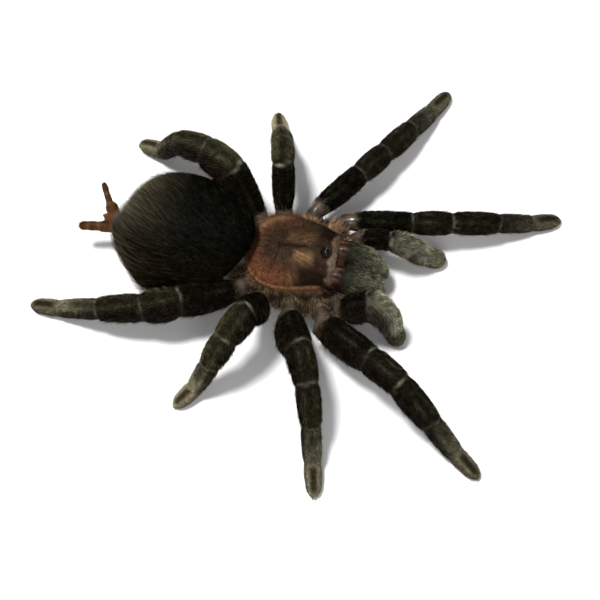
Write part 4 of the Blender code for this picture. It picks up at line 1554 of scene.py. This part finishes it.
def strand_tone() -> bpy.types.NodeTree:
    """Node group: darkens a hair at its root, pales its tip and varies it from its fellows.

    Returns:
        The group's tree, built at the first call.
    """
    known = bpy.data.node_groups.get("strand_tone")
    if known:
        return known
    graph, given, out = new_group("strand_tone", {"Root": 0.6, "Tip": 1.3, "Vary": 0.3, "Glint": 0.0},
                                  {"Colour": "NodeSocketColor"})
    blade = graph.add("ShaderNodeUVMap", uv_map="blade").outputs[0]
    tipward = graph.add("ShaderNodeSeparateXYZ", {"Vector": blade}).outputs["Y"]
    tone = graph.mark("tone", "Fac")
    ramp = graph.times(graph.math("SUBTRACT", given["Tip"], given["Root"]), tipward)
    ramp = graph.plus(ramp, given["Root"])
    vary = graph.plus(graph.times(graph.around(tone, given["Vary"]), 2.0), 1.0)
    glint = graph.times(graph.times(tipward, tone), given["Glint"])
    own = graph.vector("SCALE", given["Colour"], graph.times(ramp, vary))
    shine = graph.vector("SCALE", GLINT_COLOUR, glint)
    graph.fill(out, {"Colour": graph.vector("ADD", own, shine)})
    return graph.tree


def new_material(name: str, specular: float) -> tuple[bpy.types.Material, Graph, bpy.types.Node]:
    """Starts a material.

    Args:
        name: name of the material.
        specular: its specular level.

    Returns:
        The material, its tree and its Principled shader.
    """
    made = bpy.data.materials.new(name)
    made.use_nodes = True
    shader = made.node_tree.nodes["Principled BSDF"]
    shader.inputs["Specular IOR Level"].default_value = specular
    return made, Graph(made.node_tree), shader


@dataclass(frozen=True)
class HideFinish:
    """Skin or shell with combed streaks, coloured by its own markings."""

    name: str
    streak: float = 6500.0
    length: float = 900.0
    depth: float = 0.35
    mottle: float = 0.12
    relief: float = 0.08 * MM
    specular: float = 0.04
    coat_roughness: float = 0.22

    def make(self) -> bpy.types.Material:
        """Builds the material.

        Returns:
            The material.
        """
        made, graph, shader = new_material(self.name, self.specular)
        gloss = graph.mark("gloss", "Fac")
        grain = graph.add("ShaderNodeGroup", node_tree=combed_grain())
        graph.fill(grain, {"Colour": graph.mark("skin_colour"), "Gloss": gloss, "Streak": self.streak,
                           "Length": self.length, "Depth": self.depth, "Mottle": self.mottle})
        relief = graph.add("ShaderNodeBump", {"Strength": 0.8, "Distance": self.relief,
                                              "Height": grain.outputs["Height"]})
        graph.fill(shader, {"Base Color": grain.outputs["Colour"], "Roughness": grain.outputs["Roughness"],
                            "Coat Weight": gloss, "Coat Roughness": self.coat_roughness,
                            "Normal": relief.outputs["Normal"]})
        return made


@dataclass(frozen=True)
class CoatFinish:
    """Hair coloured by the markings at its root, or by one paint."""

    name: str
    root: float = 0.6
    tip: float = 1.2
    vary: float = 0.4
    roughness: float = 0.55
    specular: float = 0.0
    tint: str = ""
    glint: float = 0.0

    def make(self) -> bpy.types.Material:
        """Builds the material.

        Returns:
            The material.
        """
        made, graph, shader = new_material(self.name, self.specular)
        colour = (*paint(self.tint), 1.0) if self.tint else graph.mark("coat_colour")
        tone = graph.add("ShaderNodeGroup", node_tree=strand_tone())
        graph.fill(tone, {"Colour": colour, "Root": self.root, "Tip": self.tip, "Vary": self.vary,
                          "Glint": self.glint})
        graph.fill(shader, {"Base Color": tone.outputs["Colour"], "Roughness": self.roughness})
        return made


@dataclass(frozen=True)
class CloudFinish:
    """Smooth stuff that drifts between two paints: eyes, horn and the floor."""

    name: str
    light: str
    dark: str
    roughness: float
    coat: float = 0.0
    scale: float = 900.0
    specular: float = 0.5

    def make(self) -> bpy.types.Material:
        """Builds the material.

        Returns:
            The material.
        """
        made, graph, shader = new_material(self.name, self.specular)
        blend = graph.add("ShaderNodeMix", {
            "Factor": graph.noise(graph.own_place(), self.scale),
            "A": (*paint(self.dark), 1.0), "B": (*paint(self.light), 1.0)}, data_type="RGBA")
        graph.fill(shader, {"Base Color": socket(blend.outputs, "Result"), "Roughness": self.roughness,
                            "Coat Weight": self.coat, "Coat Roughness": 0.04})
        return made


# ---------------- the coat


@dataclass(frozen=True)
class Tuft:
    """A few tapering three-sided hairs, one unit long along +X."""

    name: str
    hairs: int
    joints: int
    thickness: float
    fan: float = 0.0
    arch: float = 0.0
    spread: float = 0.0

    def build(self) -> bpy.types.Object:
        """Builds the tuft as closed mesh, with a map of where on the hair each point is.

        Returns:
            The tuft's object, hidden from view.
        """
        grids, blade = [], []
        for h in range(self.hairs):
            place = 0.0 if self.hairs == 1 else 2 * h / (self.hairs - 1) - 1
            yaw = self.fan * place
            length = 1.0 - 0.22 * abs(place) - 0.06 * (h % 2)
            root = np.array((0.12 * (h % 2), self.spread * place, 0.0))
            for k in range(self.joints + 1):
                t = k / self.joints
                wide = 0.5 * self.thickness * (1 - t) ** 0.7 + 1e-4
                lift = self.arch * (t * (1 - t) * 2.2 + 0.10 * t) + 0.02 * place * place
                middle = root + np.array((length * t * cos(yaw), length * t * sin(yaw), lift))
                for c in range(3):
                    angle = 2 * pi * c / 3 + 0.5 * pi
                    grids.append(middle + np.array((0.0, wide * cos(angle), wide * sin(angle))))
                    blade.append(((c + 0.5) / 3, t))
        return self.skin(np.array(grids), blade)

    def skin(self, points: Array, blade: list[tuple[float, float]]) -> bpy.types.Object:
        """Covers the rings of the hairs with faces, each hair ending in one point.

        Args:
            points: the rings of all the hairs.
            blade: where on its hair each point is.

        Returns:
            The tuft's object, hidden from view.
        """
        keep, faces, count = [], [], 3 * (self.joints + 1)
        for h in range(self.hairs):
            start, base = len(keep), h * count
            keep += range(base, base + 3 * self.joints + 1)
            faces.append((start + 2, start + 1, start))
            for k in range(self.joints):
                a = start + 3 * k
                for c in range(3):
                    d = (c + 1) % 3
                    last = k == self.joints - 1
                    faces.append((a + c, a + d, a + 3) if last else (a + c, a + d, a + 3 + d, a + 3 + c))
        mesh = bpy.data.meshes.new(self.name)
        mesh.from_pydata(points[keep].tolist(), [], faces, shade_flat=False)
        turn_out(mesh)
        layer = mesh.uv_layers.new(name="blade")
        for loop in mesh.loops:
            layer.data[loop.index].uv = blade[keep[loop.vertex_index]]
        made = link(self.name, mesh)
        made.hide_render = made.hide_viewport = True
        return made


@dataclass(frozen=True)
class Coat:
    """One piece of the coat: where it grows, on what, and how."""

    name: str
    zones: tuple[Zone, ...]
    density: float                 # tufts for each square millimetre
    seed: int
    hair: Hair = Hair.SHORT
    tuft: str = "velvet_tuft"
    finish: str = "velvet"
    slot: str = "skin"
    scale: float = 1.0
    vary: float = 0.28             # how far lengths differ
    yaw: float = 12.0              # how far hairs stray sideways, in degrees
    pitch: float = 6.0             # how far they stray up and down, in degrees
    patch: float = 0.003           # share of the map that one tuft covers


def bristles(name: str, zones: tuple[Zone, ...], density: float, seed: int, **settings: float) -> Coat:
    """A piece of long bristles that grow in pairs."""
    look = {"vary": 0.3, "yaw": 14.0, "pitch": 8.0, **settings}
    return Coat(name, zones, density, seed, Hair.LONG, "pair_of_bristles", "bristles", **look)


@dataclass
class CoatGraph(Graph):
    """The node tree that grows tufts on a surface along the lie of its hair."""

    wish: bpy.types.bpy_prop_collection

    def named(self, kind: str, name: object) -> Socket:
        """Reads a mark of the surface by its type and its name."""
        node = self.add("GeometryNodeInputNamedAttribute", {"Name": name}, data_type=kind)
        return socket(node.outputs, "Attribute")

    def keep(self, geometry: Socket, kind: str, name: str, value: object,
             domain: str = "POINT") -> Socket:
        """Stores a value under a name on a geometry and returns the geometry."""
        feeds = {"Name": name, "Geometry": geometry, "Value": value}
        return self.add("GeometryNodeStoreNamedAttribute", feeds, data_type=kind,
                        domain=domain).outputs["Geometry"]

    def random(self, low: object, high: object, salt: int) -> Socket:
        """Draws a number for each tuft between low and high; salt keeps two draws unlike."""
        feeds = {"Min": low, "Max": high, "Seed": self.plus(self.wish["Seed"], float(salt))}
        return socket(self.add("FunctionNodeRandomValue", feeds, data_type="FLOAT").outputs, "Value")

    def scatter(self) -> bpy.types.Node:
        """Strews the roots of the tufts over the surface."""
        density = self.times(self.wish["Density"], self.named("FLOAT", self.wish["Share"]))
        return self.add("GeometryNodeDistributePointsOnFaces",
                        {"Mesh": self.wish["Geometry"], "Density": density, "Seed": self.wish["Seed"]},
                        distribute_method="RANDOM")

    def aim(self, normal: Socket) -> Socket:
        """Sets each tuft upright, combs it along the lie of the hair and lets it stray.

        Args:
            normal: the surface's normal at each root.

        Returns:
            The socket with the rotations.
        """
        wish = self.wish
        upright = self.add("FunctionNodeAlignRotationToVector", {"Vector": normal}, axis="Z")
        combed = self.add("FunctionNodeAlignRotationToVector",
                          {"Rotation": upright.outputs["Rotation"],
                           "Vector": self.named("FLOAT_VECTOR", "coat_lie")}, axis="X", pivot_axis="Z")
        least_pitch, least_yaw = (self.times(wish[label], -1.0) for label in ("Pitch", "Yaw"))
        stand = self.plus(self.named("FLOAT", "coat_stand"), self.random(least_pitch, wish["Pitch"], 3))
        stray = self.add("ShaderNodeCombineXYZ", {
            "X": self.random(-0.6, 0.6, 5), "Y": self.times(stand, -1.0),
            "Z": self.random(least_yaw, wish["Yaw"], 7)})
        euler = self.add("FunctionNodeEulerToRotation", {"Euler": stray.outputs[0]})
        turned = self.add("FunctionNodeRotateRotation",
                          {"Rotation": combed.outputs["Rotation"], "Rotate By": euler.outputs["Rotation"]},
                          rotation_space="LOCAL")
        return turned.outputs["Rotation"]

    def mark_roots(self, points: Socket) -> Socket:
        """Gives each root its place on the unrolled skin and its own tone.

        Args:
            points: the roots.

        Returns:
            The roots with both.
        """
        ground = self.wish["Geometry"]
        near = self.add("GeometryNodeSampleNearest", {"Geometry": ground}, domain="POINT")
        spot = self.add("GeometryNodeSampleIndex",
                        {"Geometry": ground, "Value": self.named("FLOAT_VECTOR", "unwrap"),
                         "Index": near.outputs["Index"]}, data_type="FLOAT_VECTOR", domain="POINT")
        points = self.keep(points, "FLOAT_VECTOR", "root_place", socket(spot.outputs, "Value"))
        streak = self.vector("MULTIPLY", self.named("FLOAT_VECTOR", "combed"), (420.0, 2600.0, 0.0))
        tone = self.plus(self.times(self.random(0.0, 1.0, 13), 0.65),
                         self.times(self.noise(streak, 1.0, 2.0), 0.35))
        return self.keep(points, "FLOAT", "tone", tone)

    def plant(self, points: Socket, rotation: Socket) -> Socket:
        """Sets a tuft on each root and makes them all real mesh.

        Args:
            points: the roots.
            rotation: which way each tuft lies.

        Returns:
            The mesh of all the tufts.
        """
        wish = self.wish
        size = self.times(self.named("FLOAT", wish["Lengths"]), wish["Scale"])
        least, most = (self.math(operation, 1.0, wish["Vary"]) for operation in ("SUBTRACT", "ADD"))
        size = self.times(size, self.random(least, most, 11))
        tuft = self.add("GeometryNodeObjectInfo", {"Object": wish["Tuft"]}, transform_space="ORIGINAL")
        planted = self.add("GeometryNodeInstanceOnPoints",
                           {"Points": points, "Instance": tuft.outputs["Geometry"],
                            "Rotation": rotation, "Scale": size})
        real = self.add("GeometryNodeRealizeInstances", {"Geometry": planted.outputs["Instances"]})
        return real.outputs["Geometry"]

    def above_floor(self, geometry: Socket) -> Socket:
        """Lifts what would stick through the floor.

        Args:
            geometry: the mesh.

        Returns:
            The mesh above the floor.
        """
        place = self.add("GeometryNodeInputPosition").outputs[0]
        parts = self.add("ShaderNodeSeparateXYZ", {"Vector": place}).outputs
        lifted = self.add("ShaderNodeCombineXYZ", {"X": parts["X"], "Y": parts["Y"],
                                                   "Z": self.math("MAXIMUM", parts["Z"], HAIR_FLOOR)})
        node = self.add("GeometryNodeSetPosition", {"Geometry": geometry, "Position": lifted.outputs[0]})
        return node.outputs["Geometry"]

    def chart(self, geometry: Socket) -> Socket:
        """Maps each tuft round its root's place on the unrolled skin.

        Args:
            geometry: the mesh.

        Returns:
            The mesh with its map.
        """
        offset = self.vector("SUBTRACT", self.named("FLOAT_VECTOR", "blade"), (0.5, 0.5, 0.0))
        offset = self.vector("SCALE", offset, self.wish["Patch"])
        chart = self.vector("ADD", self.named("FLOAT_VECTOR", "root_place"), offset)
        return self.keep(geometry, "FLOAT2", "OFBake", chart, "CORNER")

    def grow(self) -> Socket:
        """Joins all the steps.

        Returns:
            The finished coat with its material.
        """
        roots = self.scatter()
        rotation = self.aim(roots.outputs["Normal"])
        coat = self.plant(self.mark_roots(roots.outputs["Points"]), rotation)
        mapped = self.chart(self.above_floor(coat))
        dress = self.add("GeometryNodeSetMaterial", {"Geometry": mapped, "Material": self.wish["Finish"]})
        return dress.outputs["Geometry"]


def coat_tree() -> bpy.types.NodeTree:
    """Node tree with named inputs that grows one piece of the coat.

    Returns:
        The tree, built at the first call.
    """
    known = bpy.data.node_groups.get("grow_coat")
    if known:
        return known
    tree = bpy.data.node_groups.new("grow_coat", "GeometryNodeTree")
    wanted = {"Geometry": "Geometry", "Tuft": "Object", "Finish": "Material", "Density": "Float",
              "Scale": "Float", "Vary": "Float", "Yaw": "Float", "Pitch": "Float", "Patch": "Float",
              "Seed": "Int", "Lengths": "String", "Share": "String"}
    for label, kind in wanted.items():
        tree.interface.new_socket(label, in_out="INPUT", socket_type="NodeSocket" + kind)
    tree.interface.new_socket("Geometry", in_out="OUTPUT", socket_type="NodeSocketGeometry")
    graph = CoatGraph(tree, tree.nodes.new("NodeGroupInput").outputs)
    graph.add("NodeGroupOutput", {"Geometry": graph.grow()})
    return tree


KEPT_MARKS = {"position", "OFBake", "blade", "tone", "coat_colour", ".edge_verts", ".corner_vert",
              ".corner_edge", "material_index", "sharp_face"}


@dataclass
class Groomer:
    """Grows the pieces of the coat on the skin and the shield."""

    tufts: dict[str, bpy.types.Object]
    finishes: dict[str, bpy.types.Material]

    def grow(self, ground: bpy.types.Object, coat: Coat) -> bpy.types.Object:
        """Grows one piece of the coat.

        Args:
            ground: the object that it grows on.
            coat: where and how it grows.

        Returns:
            The finished piece as plain mesh.
        """
        mesh = ground.data
        zone, share = (np.zeros(len(mesh.vertices), np.float32) for _ in range(2))
        mesh.attributes["zone"].data.foreach_get("value", zone)
        mesh.attributes[coat.hair.value + "_share"].data.foreach_get("value", share)
        here = np.isin(np.rint(zone), [z.value for z in coat.zones])
        lay_marks(mesh, {"share_now": np.where(here, share, 0.0)})
        base = link(coat.name + "_ground", mesh)
        step = base.modifiers.new("coat", "NODES")
        step.node_group = coat_tree()
        wishes = {"Tuft": self.tufts[coat.tuft], "Finish": self.finishes[coat.finish],
                  "Density": coat.density / MM ** 2, "Scale": coat.scale, "Vary": coat.vary,
                  "Yaw": radians(coat.yaw), "Pitch": radians(coat.pitch), "Patch": coat.patch,
                  "Seed": coat.seed, "Lengths": coat.hair.value + "_length", "Share": "share_now"}
        for item in step.node_group.interface.items_tree:
            if item.in_out == "INPUT" and item.name in wishes:
                step[item.identifier] = wishes[item.name]
        grown = plain_mesh(base)
        bpy.data.objects.remove(base)
        grown.name = coat.name
        for name in [a.name for a in grown.attributes if a.name not in KEPT_MARKS]:
            grown.attributes.remove(grown.attributes[name])
        grown.uv_layers.active = grown.uv_layers["OFBake"]
        return link(coat.name, grown)


# ---------------- the studio


@dataclass(frozen=True)
class Lamp:
    """A soft round lamp that looks at the model."""

    name: str
    spot: tuple[float, float, float]
    size: float
    power: float

    def build(self) -> None:
        """Adds the lamp."""
        data = bpy.data.lights.new(self.name, "AREA")
        data.shape = "DISK"
        data.size = self.size
        data.energy = self.power
        made = link(self.name, data)
        made.location = self.spot
        made.rotation_euler = Vector(self.spot).to_track_quat("Z", "Y").to_euler()


@dataclass(frozen=True)
class Studio:
    """Pale floor, soft lights and the camera."""

    azimuth: float = -77.0
    elevation: float = 67.5
    lens: float = 85.0
    target: tuple[float, float, float] = (-8.8, -4.3, 8.0)      # mm from the carapace's middle
    distance: float = 303.2 * MM
    air: float = 0.34
    lamps: tuple[Lamp, ...] = (Lamp("key", (0.02, 0.17, 0.60), 0.13, 4.9),
                               Lamp("fill", (-0.45, -0.10, 0.40), 0.45, 0.9))

    def build(self, origin: Array) -> None:
        """Adds the floor, the world, the lamps and the camera.

        Args:
            origin: middle of the carapace on the floor.
        """
        self.floor()
        world = bpy.data.worlds.new("studio_air")
        world.use_nodes = True
        world.node_tree.nodes["Background"].inputs["Color"].default_value = (1.0, 1.0, 1.0, 1.0)
        world.node_tree.nodes["Background"].inputs["Strength"].default_value = self.air
        bpy.context.scene.world = world
        for lamp in self.lamps:
            lamp.build()
        self.camera(origin)

    def floor(self) -> None:
        """Adds the pale floor."""
        half = 1.5
        corners = [(-half, -half, 0), (half, -half, 0), (half, half, 0), (-half, half, 0)]
        mesh = bpy.data.meshes.new("floor")
        mesh.from_pydata(corners, [], [(0, 1, 2, 3)])
        finish = CloudFinish("pale floor", "dedede", "dcdcdc", 0.9, scale=30.0, specular=0.1)
        mesh.materials.append(finish.make())
        link("floor", mesh)

    def camera(self, origin: Array) -> None:
        """Adds the camera and plain colours.

        Args:
            origin: middle of the carapace on the floor.
        """
        data = bpy.data.cameras.new("camera")
        data.lens = self.lens
        data.clip_start = 0.01
        data.clip_end = 10.0
        a, e = radians(self.azimuth), radians(self.elevation)
        back = Vector((sin(a) * cos(e), -cos(a) * cos(e), sin(e)))
        right = Vector((cos(a), sin(a), 0.0))
        turn = Matrix((right, back.cross(right), back)).transposed().to_4x4()
        turn.translation = Vector(origin) + Vector(self.target) * MM + back * self.distance
        made = link("camera", data)
        made.matrix_world = turn
        bpy.context.scene.camera = made
        bpy.context.scene.view_settings.view_transform = "Standard"


# ---------------- the whole

TUFTS = (Tuft("velvet_tuft", 3, 1, 0.080, fan=0.26, spread=0.15),
         Tuft("single_bristle", 1, 3, 0.016, arch=0.10),
         Tuft("rim_bristle", 1, 2, 0.030, arch=0.12),
         Tuft("pair_of_bristles", 2, 2, 0.042, fan=0.16, arch=0.08, spread=0.08))
FINISHES = {
    "velvet": CoatFinish("short velvet", 0.25, 1.40, 0.9),
    "bristles": CoatFinish("long bristles", 0.8, 5.0, 0.9, 0.45, 0.10, glint=0.04),
    "haze": CoatFinish("beige haze", 0.8, 3.4, 0.9, 0.45, 0.05, glint=0.16),
    "rim": CoatFinish("rim hair", 0.25, 2.2, 0.9, 0.5, 0.03, tint=Paint.RIM_HAIR),
    "down": CoatFinish("golden down", 0.7, 1.15, 0.5, 0.6, 0.02),
}
HARD_NODES = ("carapace", "eye_mound", "fang_left", "fang_right")
LIMB_ZONES = (Zone.FRONT_LEFT, Zone.FRONT_RIGHT, Zone.REAR_LEFT, Zone.REAR_RIGHT)
SKIN_COATS = (
    Coat("coat_abdomen", (Zone.ABDOMEN,), 5.8, 11),
    Coat("bristles_abdomen", (Zone.ABDOMEN,), 5.4, 12, Hair.LONG, "single_bristle", "haze",
         vary=0.4, yaw=12.0, pitch=3.0),
    *(Coat(f"coat_legs_{zone.name.lower()}", (zone,), density, 21 + k)
      for k, (zone, density) in enumerate(zip(LIMB_ZONES, (8.0, 7.8, 8.2, 8.0)))),
    bristles("bristles_legs_front", LIMB_ZONES[:2], 1.9, 25),
    bristles("bristles_legs_rear", LIMB_ZONES[2:], 2.2, 26),
    Coat("coat_head", (Zone.HEAD,), 10.0, 31, scale=0.9),
    bristles("bristles_head", (Zone.HEAD,), 6.0, 32),
    Coat("coat_hips", (Zone.HIP,), 7.0, 34, vary=0.4, yaw=34.0, pitch=10.0),
    bristles("bristles_hips", (Zone.HIP,), 5.0, 35, vary=0.5, yaw=44.0, pitch=13.0),
    Coat("coat_trunk", (Zone.TRUNK,), 5.0, 33, slot="underside"),
)
SHELL_COATS = (
    Coat("coat_carapace", (Zone.SHELL,), 15.0, 41, finish="down", slot="carapace",
         yaw=9.0, pitch=3.0, scale=0.9),
    Coat("fringe_carapace", (Zone.SHELL,), 34.0, 42, Hair.LONG, "rim_bristle", "rim",
         slot="carapace", vary=0.6, yaw=52.0, pitch=24.0),
)


@dataclass
class Tarantula:
    """The whole model: builds its pieces in order and ties them to the frame."""

    nodes: dict[str, bpy.types.Object]
    origin: Array = field(default_factory=lambda: np.zeros(3))

    def tie(self, piece: bpy.types.Object, nodes: tuple[str, ...] = (),
            finish: HideFinish | CloudFinish | None = None) -> None:
        """Rides a piece on the model's body and what it stands for.

        Args:
            piece: the finished piece.
            nodes: the parts of the frame that it stands for.
            finish: its finish, where it has no material yet.
        """
        if finish:
            piece.data.materials.append(finish.make())
        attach(piece, ROOT_BODY)
        if nodes:
            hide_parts(*nodes)
        LOG.info("%s: %d triangles", piece.name, len(piece.data.loops) - 2 * len(piece.data.polygons))

    def limbs(self) -> list[Limb]:
        """All ten limbs in their pose.

        Returns:
            The legs, from the front on, and then the feelers.
        """
        made = []
        for (number, label), pose in LEG_POSES.items():
            zone = Zone[f"{'FRONT' if number < 3 else 'REAR'}_{label.upper()}"]
            made.append(Limb(f"leg_{number}_{label}", LEG_SIZES[number], pose, zone, self.origin))
        for label, pose in PALP_POSES.items():
            made.append(Limb(f"palp_{label}", PALP_SIZE, pose, Zone.HEAD, self.origin))
        return made

    def build(self) -> None:
        """Builds every piece of the model."""
        low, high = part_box("carapace")
        across = 0.5 * (low.x + high.x)
        self.origin = np.array((across, low.y + 0.5 * CARAPACE_LENGTH - CARAPACE_PLACE, 0.0))
        limbs = self.limbs()
        forms = [limb.form() for limb in limbs] + Body(self.origin).forms()
        pack_pattern(forms)
        skin = Skin(forms).build()
        soft = tuple(name for name in self.nodes if name not in HARD_NODES)
        self.tie(skin, soft, HideFinish("bristled skin"))
        shield = Carapace(self.origin)
        shell = shield.build()
        self.tie(shell, HARD_NODES[:1],
                 HideFinish("coppery shell", 2600.0, 450.0, 0.5, 0.4, 0.05 * MM, 0.05))
        head = Head(self.origin, float(shield.height(np.array(0.0), np.array(Head.place))))
        self.tie(head.mound(), HARD_NODES[1:2],
                 CloudFinish("eye mound", "0a0604", "040302", 0.06, specular=0.20))
        self.tie(head.eyes(), (),
                 CloudFinish("glossy eyes", "060403", "020101", 0.04, specular=0.45))
        horn = CloudFinish("black horn", "1c130f", "0c0807", 0.2, 0.4)
        self.tie(head.fangs(), HARD_NODES[2:], horn)
        claws = make_object("claws", [grid for limb in limbs for grid in limb.claws()])
        self.tie(claws, (), horn)
        self.coats(skin, shell)

    def coats(self, skin: bpy.types.Object, shell: bpy.types.Object) -> None:
        """Grows the whole coat.

        Args:
            skin: the finished skin.
            shell: the finished carapace.
        """
        tufts = {tuft.name: tuft.build() for tuft in TUFTS}
        groomer = Groomer(tufts, {name: finish.make() for name, finish in FINISHES.items()})
        for ground, coats in ((skin, SKIN_COATS), (shell, SHELL_COATS)):
            for coat in coats:
                self.tie(groomer.grow(ground, coat))
        for tuft in tufts.values():
            bpy.data.objects.remove(tuft)


def main() -> None:
    """Builds the looks round the frame."""
    logging.basicConfig(level=logging.INFO, format="%(message)s")
    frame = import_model()
    model = Tarantula(frame["nodes"])
    model.build()
    Studio().build(model.origin)


if __name__ == "__main__":
    main()
